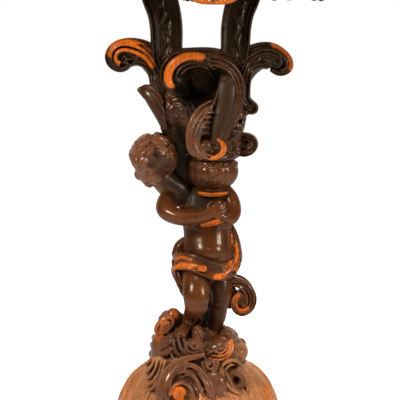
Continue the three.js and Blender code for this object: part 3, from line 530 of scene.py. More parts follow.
def rock_left():
    """The oval shell on the mound's left shoulder and the rolls of rockwork below it."""
    bm = bmesh.new()
    lump(bm, (-68, -42, 226), (15, 11, 24), turn=(0, 42, 0), rings=14)
    rim = []
    for angle in range(0, 361, 24):
        a = math.radians(angle)
        along, wide = 22 * math.sin(a), 12.5 * math.cos(a)
        x = -68 + 0.67 * along + 0.74 * wide
        rim.append((x, -50 + 0.3 * wide - 0.1 * along, 226 + 0.74 * along - 0.67 * wide, 3.4, 5))
    loft(bm, rim, SMALL, back=(0.4, 0.9, 0), steps=4)
    stroke(bm, [(-76, -56, 220), (-70, -58, 230), (-60, -57, 234), (-62, -57, 226)], 4, 4.5, section=SMALL)
    lump(bm, (-50, -30, 244), (15, 14, 13), turn=(0, 35, 0))
    for rows in (
        [(-88, -8, 190, 9, 8), (-78, -40, 195, 8, 9), (-64, -58, 200, 7, 9), (-52, -66, 209, 5, 7)],
        [(-91, -12, 176, 9, 8), (-80, -42, 183, 7, 9), (-65, -60, 189, 6, 9), (-51, -70, 201, 5, 7)],
        [(-93, -12, 158, 9, 9), (-80, -46, 165, 9, 9), (-64, -66, 173, 8, 9), (-51, -74, 186, 6, 6)],
        [(-92, -22, 146, 5, 7), (-78, -60, 152, 7, 8), (-56, -80, 160, 7, 8), (-40, -86, 168, 5, 5)],
    ):
        loft(bm, rows, SMOOTH, steps=7)
    lump(bm, (-74, -34, 176), (22, 24, 34))
    return melted(bm, 1.29, 1)


def rock_front_shell():
    """The shell under the feet: nested rolls like waves, and the dark stone above them."""
    bm = bmesh.new()
    for rows, size in (
        ([(-49, -76, 206), (-47, -84, 196), (-42, -88, 182), (-28, -91, 172), (-8, -92, 168),
          (10, -89, 174)], 4.6),
        ([(-40, -82, 210), (-38, -88, 202), (-33, -92, 189), (-20, -95, 178), (-5, -95, 176),
          (10, -91, 183)], 4.2),
        ([(-29, -86, 208), (-22, -94, 189), (-9, -96, 182), (6, -92, 188)], 4.0),
        ([(-20, -88, 202), (-9, -95, 191), (6, -91, 193)], 3.8),
        ([(-56, -66, 186), (-50, -78, 170), (-34, -88, 160), (-14, -92, 158), (10, -90, 164)], 3.6),
    ):
        cord(bm, rows, size, size * 1.3, steps=5)
    lump(bm, (-18, -68, 184), (36, 22, 22))
    lump(bm, (-2, -58, 208), (12, 18, 22), rings=12)
    for x, y, z, r in ((-10, -90, 200, 4.5), (-2, -92, 196, 4)):
        lump(bm, (x, y, z), (r, r, r), rings=6)
    stroke(bm, [(-6, -72, 230), (2, -75, 222), (8, -74, 208)], 4, 5)
    return melted(bm, 1.18, 1)


def rock_right_rings():
    """The ringed shell on the right, whose growth rings turn round its eye."""
    bm = bmesh.new()
    for rows, size in (
        ([(22, -88, 169), (34, -90, 168), (47, -90, 169), (60, -84, 177), (66, -77, 189),
          (64, -72, 203)], 3.8),
        ([(28, -90, 177), (40, -92, 176), (49, -90, 177), (56, -86, 182), (60, -80, 191),
          (58, -76, 201)], 3.0),
        ([(34, -90, 184), (44, -92, 183), (51, -88, 187), (54, -83, 193), (53, -79, 200)], 2.6),
        ([(42, -90, 190), (48, -88, 192), (49, -84, 198)], 2.4),
        ([(18, -86, 178), (26, -88, 185), (36, -87, 188)], 3.2),
    ):
        cord(bm, rows, size, size * 1.5, steps=5)
    lump(bm, (42, -68, 184), (27, 20, 20))
    lump(bm, (24, -72, 176), (14, 16, 14))
    return melted(bm, 1.06, 1)


def rock_right_knob():
    """The two rounded crags on the right, with a fold between them."""
    bm = bmesh.new()
    lump(bm, (82, -8, 164), (19, 28, 21), rings=14)
    lump(bm, (72, 30, 164), (20, 26, 22), rings=14)
    lump(bm, (70, -34, 168), (15, 20, 17), rings=14)
    for rows in ([(70, -40, 186), (84, -32, 182), (94, -18, 170), (97, -10, 154)],
                 [(66, -46, 172), (78, -44, 168), (88, -34, 156), (90, -28, 148)],
                 [(78, 50, 178), (92, 36, 172), (94, 20, 160)]):
        stroke(bm, rows, 6, 6, back=(-0.7, 0.6, 0), section=SMALL)
    return melted(bm, 1.46, 2)


def leg_stump():
    """The tree stump behind the legs, with bark ridges and a broken branch."""
    bm = bmesh.new()
    trunk_path = [(6, 22, 196, 32, 30), (4, 24, 225, 24, 23), (8, 22, 260, 21, 20), (10, 20, 292, 23, 22),
                  (12, 14, 322, 28, 24)]
    loft(bm, trunk_path, SMOOTH, steps=8)
    loft(bm, [(-4, 24, 262, 10, 10), (-22, 18, 272, 8, 8), (-36, 14, 285, 6, 6)], SMOOTH, steps=5)
    root = [(8, 8, 206, 14, 10), (4, -6, 222, 12, 9), (6, -8, 240, 10, 8), (10, 0, 258, 8, 8)]
    loft(bm, root, SMOOTH, steps=5)
    body = melted(bm, 1.6, 2)
    ground = Ground(body)
    for side in range(0, 360, 24):
        lean = 4 * math.sin(side)
        spots = [(2 + lean, 204), (3 - lean, 232), (5 + lean, 262), (8 - lean, 300)]
        ridge(body, ground, spots, 3.4, 3, side, section=SMALL, fat=0.4)
    for spots in ([(-12, 236), (-6, 226), (2, 222), (8, 212)], [(-6, 246), (2, 238), (8, 228)],
                  [(-14, 222), (-8, 212), (2, 206)]):
        ridge(body, ground, spots, 4, 4.5)
    return melted(body, 1.46, 1)


# ---- Urn and trunk ----

def urn():
    """The fluted urn on its waisted foot, with a leafy rim."""
    bm = bmesh.new()
    foot, top = URN_FOOT, URN_TOP
    x, y = URN_CENTRE
    profile = [(30, foot), (33, foot + 2), (34, foot + 6), (31, foot + 9), (26, foot + 13), (28, foot + 17),
               (38, foot + 22), (47, foot + 33), (51, foot + 46), (50.5, foot + 56),
               (47, foot + 64), (45, top)]
    smooth = [tuple(row)[:2] for row in spline([(*p, 0) for p in profile], 6)]
    turned(bm, [(0, foot), *smooth, (0, top)], URN_CENTRE, sides=168)
    centre = Vector((*URN_CENTRE, 0))

    def flute(place):
        out = Vector((place.x, place.y, 0)) - centre
        if not foot + 16 < place.z < top - 12 or out.length < 20:
            return None
        angle = math.atan2(out.y, out.x)
        fade = min(1, (place.z - foot - 16) / 8, (top - 12 - place.z) / 6)
        return out.normalized() * (-2.8 * fade * (1 - abs(math.sin(angle * 9))) ** 2)

    moved(bm, flute)
    ring = [(x + 33 * math.cos(a), y + 33 * math.sin(a), foot + 7.5, 2.8, 3.2)
            for a in (math.radians(10 * k) for k in range(37))]
    loft(bm, ring, SMALL, back=lambda p: centre - p + Vector((0, 0, p.z)), steps=2, blunt=0)
    for k in range(18):
        side = 10 + k * 20
        turn = Matrix.Rotation(math.radians(side), 3, "Z")
        for lean in (-1, 1):
            rows = []
            for across, z in ((0, top - 2), (lean * 4, top - 6), (lean * 7, top - 13)):
                rim = turn @ Vector((across, -48.5 + 0.02 * abs(across), 0))
                rows.append(centre + rim + Vector((0, 0, z)))
            rows = [(*row, *(centre - row).normalized().xy, 0) for row in rows]
            stroke(bm, rows, 2.0, 1.9, section=SMALL)
    flower = foot + 49
    lump(bm, (x, -50, flower), (5.5, 5, 6.5))
    for k in range(5):
        a = math.radians(k * 72 + 90)
        lump(bm, (x + 5.6 * math.cos(a), -50.5, flower + 6 * math.sin(a)), (3.2, 3, 3.2), rings=6)
    return melted(bm, 1.23, 1)


def trunk():
    """The rocaille trunk: a deep hollow in front, leaf strokes and rolls all round."""
    bm = bmesh.new()
    x, y = URN_CENTRE
    path = [(x, y, URN_TOP + GLUE_GAP, 43, 43), (x, y, 561, 46, 46), (x - 1, y, 568, 40, 40),
            (21, 0, 588, 47, 40), (12, 0, 616, 62, 44), (8, 0, 650, 72, 48), (3, 0, 690, 72, 50),
            (0, 0, 726, 64, 50), (0, 0, 748, 50, 44), (0, 0, 758, 50, 46), (0, 0, 766, 43, 38)]
    loft(bm, path, oval(40), steps=6, blunt=0)
    lobe = [(-57, 2, 620, 18, 20), (-47, 6, 592, 22, 22), (-38, 10, 562, 26, 22), (-34, 12, 527, 26, 22),
            (-32, 14, 496, 26, 18)]
    loft(bm, lobe, SMOOTH, steps=5)
    lump(bm, (-12, 16, 500), (20, 14, 22), rings=12)
    lump(bm, (66, -2, 574), (18, 18, 18), rings=12)
    lump(bm, (-68, -4, 614), (11, 14, 14), rings=12)
    lump(bm, (70, -8, 640), (20, 22, 30), rings=14)
    lump(bm, (66, -10, 610), (18, 22, 28), rings=14)
    lump(bm, (-58, -6, 654), (19, 26, 40), rings=14)
    body = melted(bm, 1.8, 1)
    dished(body, 60, (4, -56, 706), (54, 74, 54), limit=0, gain=1.7)
    dished(body, 34, (-34, -50, 682), (44, 60, 26), limit=6)
    dished(body, 22, (64, -40, 646), (10, 40, 10), limit=0)
    dished(body, 18, (78, -30, 634), (9, 40, 9), limit=0)
    ground = Ground(body)
    front = (
        ([(-58, 617), (-61, 645), (-52, 664), (-38, 664), (-27, 649), (-22, 618), (-20, 588)], 4.6),
        ([(-65, 640), (-67, 656), (-56, 673), (-38, 674), (-22, 660), (-14, 634)], 3.6),
        ([(-50, 622), (-51, 646), (-43, 656), (-34, 648), (-30, 622)], 3.0),
        ([(-40, 680), (-24, 672), (-14, 662), (-8, 640), (-12, 612)], 4.2),
        ([(-16, 655), (-7, 628), (-13, 592)], 3.2), ([(-68, 690), (-60, 680), (-46, 682)], 5),
        ([(4, 699), (10, 684), (7, 670), (-4, 660)], 4.5), ([(-3, 690), (2, 678), (-2, 668)], 3.4),
        ([(-80, 680), (-74, 657), (-68, 638), (-64, 620)], 4.4),
        ([(-86, 668), (-79, 648), (-72, 630), (-68, 616)], 3.4),
        ([(64, 621), (71, 636), (85, 641), (93, 631)], 4.4), ([(82, 637), (79, 612), (85, 590)], 3.4),
        ([(88, 632), (86, 611), (90, 595)], 3.0), ([(75, 630), (72, 610), (78, 590)], 3.0),
        ([(50, 617), (57, 602), (70, 595)], 4.4), ([(62, 572), (73, 585), (86, 580)], 4.2),
        ([(56, 608), (64, 616), (70, 608)], 3.6), ([(60, 648), (70, 654), (80, 648)], 4.0),
        ([(54, 590), (62, 600), (72, 604)], 3.2), ([(46, 578), (56, 574), (66, 564)], 3.6),
        ([(-54, 612), (-46, 600), (-40, 580)], 4), ([(-66, 606), (-60, 590), (-50, 560)], 3.4),
        ([(-2, 600), (-10, 588), (-12, 574)], 4), ([(-58, 580), (-52, 556), (-46, 524)], 3.6),
    )
    for spots, width in front:
        ridge(body, ground, spots, width, width * 1.15)
    for row in ground.laid([(-42, 646), (-47, 640), (-37, 640), (-42, 633), (-42, 639)]):
        lump(body, row[:3], (3.4, 3.4, 3.4))
    for k in range(8):
        for side in (90, 270):
            spots = [(-26 + k * 7, 740 - k * 3), (-22 + k * 6, 700), (-14 + k * 4, 650), (-10 + k * 3, 600)]
            if k % 2:
                ridge(body, ground, spots, 3.6, 4, side, section=SMALL, fat=0.35)
        for lift in (0, 1, 2):
            across = -52 + k * 15
            z = 730 - lift * 48 - abs(across) * 0.2
            tuft = [(across, z), (across * 0.8 + 3, z - 16), (across * 0.55, z - 34)]
            ridge(body, ground, tuft, 5, 5, 180, fat=0.3)
    for shift in (-11, -5, 1, 7, 13):
        fall = [(46 + shift, 612), (38 + shift, 574), (34 + shift, 532), (34 + shift * 0.6, 496)]
        ridge(body, ground, fall, 3.4, 4, 180, fat=0.35)
    for z in range(504, 612, 18):
        ridge(body, ground, [(-20, z - 8), (0, z), (16, z + 10)], 3.2, 3.8, 270, fat=0.35)
    for side in range(-60, 300, 20):
        ridge(body, ground, [(-9, 561), (0, 568), (9, 561)], 3, 3.4, side, section=SMALL)
    rim = [(-76, 0, 745, 6, 14), (-66, -8, 756, 6, 20), (-46, -14, 764, 6, 24), (-20, -16, 766, 6, 26),
           (8, -16, 767, 6, 26), (34, -14, 765, 6, 24), (56, -8, 758, 6, 20), (72, 0, 746, 6, 14)]
    for flip in (1, -1):
        loft(body, [(a, b * flip, c, d, e) for a, b, c, d, e in rim], BAND, back=(0, flip, 0), steps=5)
    return melted(body, 1.46, 1)


def crown_scroll_left():
    """The honey-coloured C scroll left of the hollow, notched across, with an inner fillet and a pearl."""
    bm = bmesh.new()
    path = [(14, -57, 757), (-4, -60, 759), (-22, -62, 759), (-38, -62, 755), (-52, -61, 746),
            (-61, -60, 733), (-64, -59, 718), (-61, -59, 706), (-52, -60, 699)]
    sizes = [5, 7, 8, 8.5, 9, 9, 8.5, 7.5, 5]
    section = ridged([(0.0, 0.95, 0.55), (0.9, 0.12, 0.3)], floor=0.3)
    loft(bm, [(*p, s, s + 3) for p, s in zip(path, sizes)], section, steps=7)
    inner = [(12, -58, 748), (-8, -61, 748), (-26, -62, 745), (-39, -62, 737), (-47, -62, 725),
             (-48, -62, 714)]
    cord(bm, inner, 3.4, 7)
    second = [(8, -55, 741), (-12, -58, 740), (-28, -59, 735), (-38, -60, 725)]
    cord(bm, second, 3, 6)
    outer = [(-48, -50, 764), (-64, -50, 754), (-74, -49, 739), (-77, -49, 722), (-73, -50, 707),
             (-64, -52, 696), (-53, -55, 691)]
    cord(bm, outer, 3.4, 7)
    lump(bm, (-42, -64, 713), (6, 7, 6))
    for x, z in ((12, 748), (16, 742), (20, 750), (22, 737), (10, 737)):
        stroke(bm, [(x - 5, -58, z + 3), (x, -61, z), (x + 6, -58, z - 4)], 3.4, 4)
    return melted(bm, 1.23, 1)


def crown_scroll_right():
    """The nested fillets right of the hollow, ending in a small ball."""
    bm = bmesh.new()
    bed = [(10, -44, 752, 8, 8), (34, -44, 748, 12, 9), (54, -40, 738, 13, 11), (68, -34, 716, 13, 12),
           (73, -30, 690, 12, 12), (71, -34, 662, 12, 11), (60, -40, 634, 11, 10), (48, -48, 606, 7, 8)]
    loft(bm, bed, SMOOTH, steps=6)
    runs = (
        ([(12, -52, 760), (34, -52, 757), (54, -49, 748), (70, -44, 731), (79, -40, 711), (80, -38, 684),
          (75, -42, 656), (62, -47, 630), (47, -54, 602)], 4.0, 8),
        ([(12, -56, 752), (32, -56, 749), (49, -53, 741), (63, -48, 727), (72, -44, 708), (74, -43, 682),
          (69, -46, 656), (57, -51, 630), (42, -58, 600)], 3.4, 8),
        ([(16, -58, 743), (34, -58, 741), (47, -56, 735), (58, -52, 723), (66, -48, 706), (69, -47, 682),
          (64, -49, 658), (53, -54, 632), (38, -60, 600)], 3.0, 7),
    )
    for path, wide, deep in runs:
        cord(bm, path, wide, deep, SMOOTH, blunt=0.5)
    return melted(bm, 1.23, 1)


def front_leaf():
    """The long plume in front: four ribs beside a smooth tongue, curled up into a bright crescent."""
    bm = bmesh.new()
    bed = [(24, -46, 668, 7, 7), (14, -47, 660, 11, 9), (3, -50, 648, 14, 11), (-7, -54, 634, 16, 11),
           (-13, -56, 612, 15, 11), (-13, -58, 592, 15, 11), (-6, -60, 576, 13, 10), (8, -62, 567, 9, 8)]
    loft(bm, bed, SMOOTH, steps=5)
    tongue = [(52, -38, 722, 14, 8), (51, -46, 706, 18, 10), (49, -50, 684, 19, 11), (46, -52, 660, 19, 11),
              (39, -55, 636, 19, 11), (33, -58, 612, 14, 10), (28, -60, 592, 9, 8)]
    loft(bm, tongue, SMOOTH, steps=7)
    lump(bm, (52, -47, 716), (16, 12, 9))
    vein = [(35, -52, 706), (29, -58, 682), (20, -61, 658), (11, -64, 630), (5, -66, 606)]
    stroke(bm, vein, 2.2, 3, section=SMALL)
    strokes(bm, (
        ([(20, -56, 674), (-2, -58, 661), (-17, -61, 639), (-24, -63, 617), (-25, -64, 596),
          (-22, -64, 578), (-13, -63, 566)], 4.4),
        ([(24, -58, 668), (5, -61, 654), (-9, -64, 633), (-17, -66, 614), (-19, -68, 594), (-15, -68, 577),
          (-3, -67, 565)], 4.0),
        ([(19, -60, 664), (8, -63, 647), (-2, -66, 628), (-9, -69, 610), (-11, -70, 593), (-5, -71, 577),
          (7, -70, 567), (18, -69, 562)], 4.0),
        ([(23, -62, 657), (14, -65, 641), (5, -68, 626), (-1, -70, 610), (-4, -71, 595), (3, -73, 579),
          (13, -73, 571), (24, -71, 569)], 3.6),
    ), 1.3)
    lump(bm, (10, -64, 586), (13, 12, 13), rings=14)
    for x, z in ((16, 652), (12, 643), (10, 633), (8, 623), (7, 612)):
        stroke(bm, [(x - 7, -67, z - 3), (x + 1, -71, z + 1), (x + 10, -68, z - 1)], 3.6, 4.5)
    crescent = [(33, -66, 600, 3, 4), (41, -68, 593, 5, 6), (45, -70, 583, 6.5, 7), (41, -72, 573, 6, 7),
                (31, -73, 566, 5, 6), (19, -72, 562, 2.5, 4)]
    loft(bm, crescent, SMOOTH, steps=7)
    for x, z, r in ((31, 592, 3.4), (28, 584, 3.2), (22, 578, 3.2), (33, 585, 2.6)):
        lump(bm, (x, -73, z), (r, r, r), rings=6)
    return melted(bm, 1.23, 1)


def left_leaf():
    """The pointed leaf on the left, with a turned edge and veins."""
    bm = bmesh.new()
    bed = [(-122, -5, 690, 4, 5), (-112, -7, 690, 9, 10), (-99, -12, 679, 14, 14), (-86, -16, 660, 15, 15),
           (-76, -18, 638, 12, 14), (-70, -20, 620, 9, 11)]
    loft(bm, bed, SMOOTH, back=(0.3, 0.9, 0), steps=6)
    strokes(bm, (
        ([(-124, -8, 689), (-113, -14, 679), (-99, -20, 666), (-86, -24, 650), (-78, -26, 632),
          (-72, -26, 616)], 4.2),
        ([(-118, -10, 692), (-106, -18, 685), (-93, -24, 672), (-80, -28, 655), (-72, -30, 637),
          (-67, -30, 620)], 3.6),
        ([(-120, -6, 696), (-108, -12, 699), (-96, -18, 695), (-84, -24, 685), (-74, -30, 668)], 4),
        ([(-106, -20, 691), (-92, -27, 682), (-78, -32, 664), (-70, -33, 646)], 3),
    ), 1.2, back=(0.3, 0.9, 0))
    lump(bm, (-70, -18, 616), (10, 12, 5))
    lump(bm, (-121, -6, 691), (5.5, 6, 5.5))
    rear = [(-116, 2, 694), (-98, 6, 682), (-82, 8, 660), (-72, 8, 634)]
    stroke(bm, rear, 3.6, 4, back=(0.2, -0.9, 0), section=SMALL)
    return melted(bm, 1.34, 1)


def back_leaf():
    """The broad leaf on the back of the trunk, with paired lobes."""
    bm = bmesh.new()
    bed = [(4, 44, 752, 8, 7), (-6, 52, 716, 19, 10), (-4, 54, 676, 24, 11), (2, 52, 636, 21, 11),
           (12, 46, 600, 13, 9), (20, 48, 576, 6, 6)]
    loft(bm, bed, SMOOTH, back=(0, -1, 0), steps=6)
    stroke(bm, [(4, 54, 752), (-6, 64, 716), (-4, 66, 676), (2, 63, 636), (12, 56, 600),
                (20, 54, 576)], 3.4, 4,
           back=(0, -1, 0), section=SMALL, steps=6)
    for k, z in enumerate((734, 716, 696, 675, 654, 632, 610)):
        reach = (13, 19, 23, 23, 20, 16, 10)[k]
        middle = -4 + max(0, 676 - z) * 0.2
        for flip in (-1, 1):
            tip = (middle + flip * reach, 56, z + 12)
            stroke(bm, [(middle, 64, z - 4), (middle + flip * reach * 0.6, 63, z + 2), tip], 5, 4.4,
                   back=(0, -1, 0), fat=0.6)
    return melted(bm, 1.34, 1)


def small_scroll():
    """The little scroll that stands off on the right, with a rolled eye."""
    bm = bmesh.new()
    band = [(70, -2, 600, 6, 11), (80, -6, 602, 7, 12), (92, -10, 602.5, 7, 12), (103, -11, 597, 7, 12),
            (107.5, -11, 586, 7, 12), (102, -10, 574, 7, 12), (90, -8, 568, 7, 12), (78, -4, 568, 6, 10)]
    loft(bm, band, BAND, steps=6)
    lump(bm, (90, -4, 586), (15, 8, 14))
    lump(bm, (74, -2, 586), (10, 14, 18))
    stroke(bm, [(88, -14, 580), (96, -19, 588), (104, -20, 592)], 5, 7)
    stroke(bm, [(86, -12, 574), (96, -16, 579), (104, -18, 585)], 4, 5)
    return melted(bm, 1.23, 1)


# ---- Side scrolls and uprights ----

def side_scroll(web, eye, rim, strips, eye_size):
    """A side scroll: a rim band, its fillets on both faces, and a hollow web in the volute."""
    bm = bmesh.new()
    loft(bm, web, SMOOTH, steps=6)
    lump(bm, (eye[0], 0, eye[1]), (eye_size, 9, eye_size), rings=16)
    loft(bm, rim, ridged([(-0.7, 0.3, 0.35), (0.1, 0.4, 0.2), (0.75, 0.25, 0.35)], floor=0.6,
                         both=True), steps=6)
    for path, y, wide, deep in strips:
        for flip in (1, -1):
            loft(bm, [(px, flip * y, pz, wide, deep) for px, pz in path], SMALL, back=(0, flip, 0), steps=6)
    return bm


def left_scroll():
    """The scroll on the left of the trunk."""
    web = [(-74, 0, 672, 14, 15), (-80, 0, 706, 17, 16), (-91, 0, 735, 21, 15), (-109, 0, 757, 23, 14),
           (-130, 0, 765, 22, 12), (-150, 0, 762, 22, 10)]
    rim = [(-92, 0, 770, 5, 20), (-107, 0, 781, 5.5, 20), (-125, 0, 786, 5.5, 20), (-143, 0, 787, 5.5, 19),
           (-160, 0, 784, 5.5, 19), (-174, 0, 776, 5.5, 18), (-182, 0, 765, 5.5, 18),
           (-184, 0, 752, 5.5, 17), (-179, 0, 740, 5.5, 17), (-168, 0, 732, 5.5, 16), (-156, 0, 730, 5, 16),
           (-145, 0, 735, 4.5, 15), (-138, 0, 743, 3, 12)]
    strips = (
        ([(-80, 727), (-92, 747), (-107, 763), (-124, 774), (-142, 779), (-158, 779),
          (-169, 773), (-177, 763), (-178, 752), (-172, 742), (-162, 737)], -14, 3.8, 6),
        ([(-85, 716), (-97, 739), (-110, 754), (-126, 763), (-142, 768), (-154, 769),
          (-164, 764), (-168, 755), (-166, 747), (-160, 744)], -15, 4.2, 6),
        ([(-88, 712), (-99, 731), (-110, 744), (-122, 752), (-134, 756)], -14, 3, 5),
        ([(-140, 739), (-128, 742), (-116, 739), (-106, 731), (-100, 717), (-97, 699), (-92, 682)],
         -10, 4.2, 12),
        ([(-132, 747), (-119, 747), (-106, 738), (-96, 722), (-91, 703), (-86, 684)], -14, 3.2, 7),
    )
    bm = side_scroll(web, (-158, 757), rim, strips, 24)
    for flip in (1, -1):
        for path in ([(-154, -12, 760), (-146, -14, 752), (-134, -13, 750)],
                     [(-156, -12, 748), (-148, -14, 744), (-140, -13, 742)]):
            stroke(bm, [(a, b * flip, c) for a, b, c in path], 4, 5, back=(0, flip, 0))
    return melted(bm, 1.34, 1)


def right_scroll():
    """The scroll on the right of the trunk, whose lower end rolls into a console."""
    web = [(76, 0, 664, 12, 15), (77, 0, 690, 14, 16), (82, 0, 716, 18, 16), (94, 0, 740, 22, 15),
           (112, 0, 756, 24, 14), (132, 0, 760, 22, 11), (148, 0, 754, 22, 10)]
    rim = [(82, 0, 766, 5, 20), (92, 0, 773, 5.5, 20), (106, 0, 779, 5.5, 20), (123, 0, 782, 5.5, 20),
           (140, 0, 780, 5.5, 19), (156, 0, 772, 5.5, 19), (169, 0, 760, 5.5, 18), (175, 0, 747, 5.5, 17),
           (173, 0, 735, 5.5, 17), (163, 0, 727, 5, 16), (150, 0, 726, 4.5, 15), (138, 0, 732, 4, 14)]
    strips = (
        ([(80, 745), (96, 762), (112, 771), (128, 774), (144, 771), (157, 762), (166, 750), (166, 738),
          (157, 732)], -14, 3.8, 6),
        ([(88, 742), (104, 758), (121, 765), (137, 764), (150, 757), (156, 747), (151, 740)], -15, 3.8, 6),
        ([(130, 738), (114, 738), (101, 730), (95, 714), (93, 695), (94, 677), (101, 669), (109, 661),
          (107, 651), (98, 648)], -8, 4.4, 13),
        ([(126, 746), (106, 742), (93, 731), (87, 713), (85, 693), (86, 675), (92, 666),
          (99, 661)], -14, 3.4, 7),
        ([(112, 752), (96, 746), (85, 731), (79, 710), (78, 688), (81, 672), (88, 660),
          (96, 655)], -15, 3.4, 7),
    )
    bm = side_scroll(web, (152, 752), rim, strips, 23)
    lump(bm, (98, 0, 658), (13, 17, 13), rings=12)
    lump(bm, (86, 0, 652), (12, 15, 12), rings=12)
    for flip in (1, -1):
        for path in ([(134, -12, 764), (146, -14, 758), (153, -13, 748), (150, -12, 738)],
                     [(140, -11, 742), (148, -13, 746), (156, -12, 742)]):
            stroke(bm, [(a, b * flip, c) for a, b, c in path], 3.6, 5, back=(0, flip, 0))
    return melted(bm, 1.34, 1)


def upright(side):
    """An upright of the crown: moulded edges, a hollow face with a faint leaf, a flared head."""
    bm = bmesh.new()
    slim = 0 if side < 0 else 2.5
    path = [(58, 722, 18, 22), (66, 750, 28, 26), (68.5, 780, 31, 28), (69.5, 812, 32, 28),
            (74, 842, 32.5, 29), (83, 870, 34, 31), (88, 890, 35, 31)]
    edge = ridged([(-0.88, 0.12, 0.42), (-0.62, 0.09, 0.22), (0.9, 0.1, 0.3),
                   (0.72, 0.05, 0.12)], floor=0.55,
                  points=49, both=True)
    flipped = edge if side > 0 else [(-u, v) for u, v in reversed(edge)]
    stations = [(side * (x - slim), 0, z, across - slim, deep) for x, z, across, deep in path]
    loft(bm, stations, flipped, steps=9, blunt=0)
    for flip in (1, -1):
        for x, z, lean in ((60, 758, 1), (76, 786, -1), (62, 812, 1), (82, 838, -1), (74, 862, 1)):
            bend = lean * side
            middle = (side * x + 6 * bend, -16.5 * flip, z)
            rows = [(side * x, -15 * flip, z - 20), middle, (side * x, -15 * flip, z + 20)]
            stroke(bm, rows, 7, 3.4, back=(0, flip, 0), fat=0.4, steps=6)
    return melted(bm, 1.46, 2)


# ---- The putto ----

def foot(bm, heel, way):
    """A plump foot from the heel towards its toes."""
    heel, way = Vector(heel), Vector(way)
    side = way.cross(Vector((0, 0, 1))).normalized()
    rows = [(*(heel + way * t + Vector((0, 0, lift))), size, size * 0.84)
            for t, lift, size in ((-0.22, 1, 10), (0.1, 4, 12), (0.45, 4, 12), (0.78, 1, 13),
                                  (1.0, -1, 11.5))]
    loft(bm, rows, SMOOTH, back=(0, 0, 1), steps=5)
    for k in range(5):
        across = (k - 2) * 4.6
        reach = 1.1 - abs(k - 3) * 0.05
        size = 4.6 if k == 4 else 3.6
        tip = heel + way * reach + side * across + Vector((0, 0, -1))
        joint = heel + way * (reach - 0.14) + side * across
        lump(bm, tip, (size * 0.85, size * 1.5, size), rings=8)
        lump(bm, joint, (size * 0.8, size * 1.5, size * 0.9), rings=8)


FINGER = 4.2


def hand(bm, palm, knuckles):
    """A small hand: a palm and fingers, each through three places."""
    lump(bm, palm, (12, 8, 10))
    for rows in knuckles:
        loft(bm, [(*row, FINGER * (1 - 0.12 * k)) for k, row in enumerate(rows)], SMALL, steps=5)


def putto_body():
    """The plump body in one skin: trunk, both arms round the urn's foot, both legs."""
    bm = bmesh.new()
    trunk_path = [(12, 2, 312, 46, 38), (16, 0, 346, 52, 46), (16, -2, 375, 50, 47), (15, 0, 403, 47, 41),
                  (12, 2, 431, 48, 38), (8, 4, 455, 52, 33), (6, 6, 478, 38, 24), (10, 8, 492, 20, 18)]
    loft(bm, trunk_path, oval(32), steps=8)
    for centre, radii in (
        ((17, -17, 372), (42, 35, 34)), ((-13, -18, 440), (26, 20, 22)), ((37, -18, 438), (25, 20, 22)),
        ((-40, 4, 478), (24, 22, 20)), ((46, 6, 482), (22, 20, 18)), ((-8, 26, 342), (28, 26, 28)),
        ((36, 26, 342), (28, 26, 28)), ((-20, 22, 452), (22, 16, 24)), ((34, 22, 452), (22, 16, 24)),
    ):
        lump(bm, centre, radii, rings=14)
    right_arm = [(-42, 4, 482, 22, 22), (-62, -16, 474, 21, 20), (-67, -42, 459, 20, 19),
                 (-50, -58, 449, 18, 17), (-24, -66, 445, 17, 15), (0, -70, 449, 14, 13),
                 (20, -70, 457, 11, 11), (32, -66, 463, 10, 9)]
    left_arm = [(46, 8, 488, 20, 20), (61, -2, 474, 17, 17), (67, -18, 454, 15.5, 15.5),
                (61, -38, 441, 14, 13), (50, -50, 443, 12, 11), (36, -58, 451, 10, 9)]
    right_leg = [(-5, -4, 347, 29, 29), (-6, -30, 326, 28, 28), (-6, -52, 306, 27, 26),
                 (-5, -64, 286, 26, 22), (-6, -62, 268, 23, 18), (-12, -44, 252, 18, 16),
                 (-18, -36, 238, 15, 14), (-22, -40, 224, 11, 12)]
    left_leg = [(34, 0, 338, 29, 29), (41, -14, 306, 25, 26), (43, -22, 281, 21.5, 22),
                (40, -20, 258, 18, 18), (38, -16, 238, 17, 18), (34, -15, 217, 13, 14),
                (31, -14, 202, 11, 11)]
    for path in (right_arm, left_arm, right_leg, left_leg):
        loft(bm, path, oval(28), steps=8)
    for centre, radii in (((-4, -70, 272), (22, 15, 19)), ((41, -32, 270), (15, 13, 14)),
                          ((-15, -28, 248), (14, 14, 18)), ((37, -6, 240), (14, 15, 20))):
        lump(bm, centre, radii, rings=12)
    foot(bm, (-25, -46, 217), (-12, -32, -3))
    foot(bm, (31, -16, 192), (3, -34, -3))
    hand(bm, (30, -66, 459), (
        [(20, -74, 462), (28, -76, 471), (38, -72, 480)], [(24, -76, 456), (33, -77, 466), (43, -72, 475)],
        [(29, -76, 451), (38, -77, 461), (48, -71, 470)], [(34, -74, 447), (43, -74, 456), (52, -68, 464)],
        [(18, -72, 456), (16, -70, 470), (22, -64, 478)]))
    body = melted(bm, 1.7, 3)

    def crease(place):
        """The soft folds of a fat child: wrists, elbows, knees, waist, spine and navel."""
        step = Vector((0, 0, 0))
        for centre, radii, depth in CREASES:
            near = bump(place, centre, radii)
            if near:
                inward = (Vector(centre) - place)
                step += inward.normalized() * near * depth if inward.length > 0.01 else inward
        return step

    moved(body, crease)
    return melted(body, 1.51, 1)


CREASES = (
    ((19, -52, 382), (5, 12, 5), 3.2), ((17, 52, 395), (6, 16, 60), 3.0), ((15, 50, 342), (5, 22, 34), 6.0),
    ((12, -42, 440), (5, 14, 26), 2.4), ((-13, -38, 421), (24, 12, 4), 1.6),
    ((37, -38, 419), (24, 12, 4), 1.6), ((17, -52, 404), (44, 14, 4), 1.8),
    ((12, -84, 452), (4, 12, 14), 1.8),
)


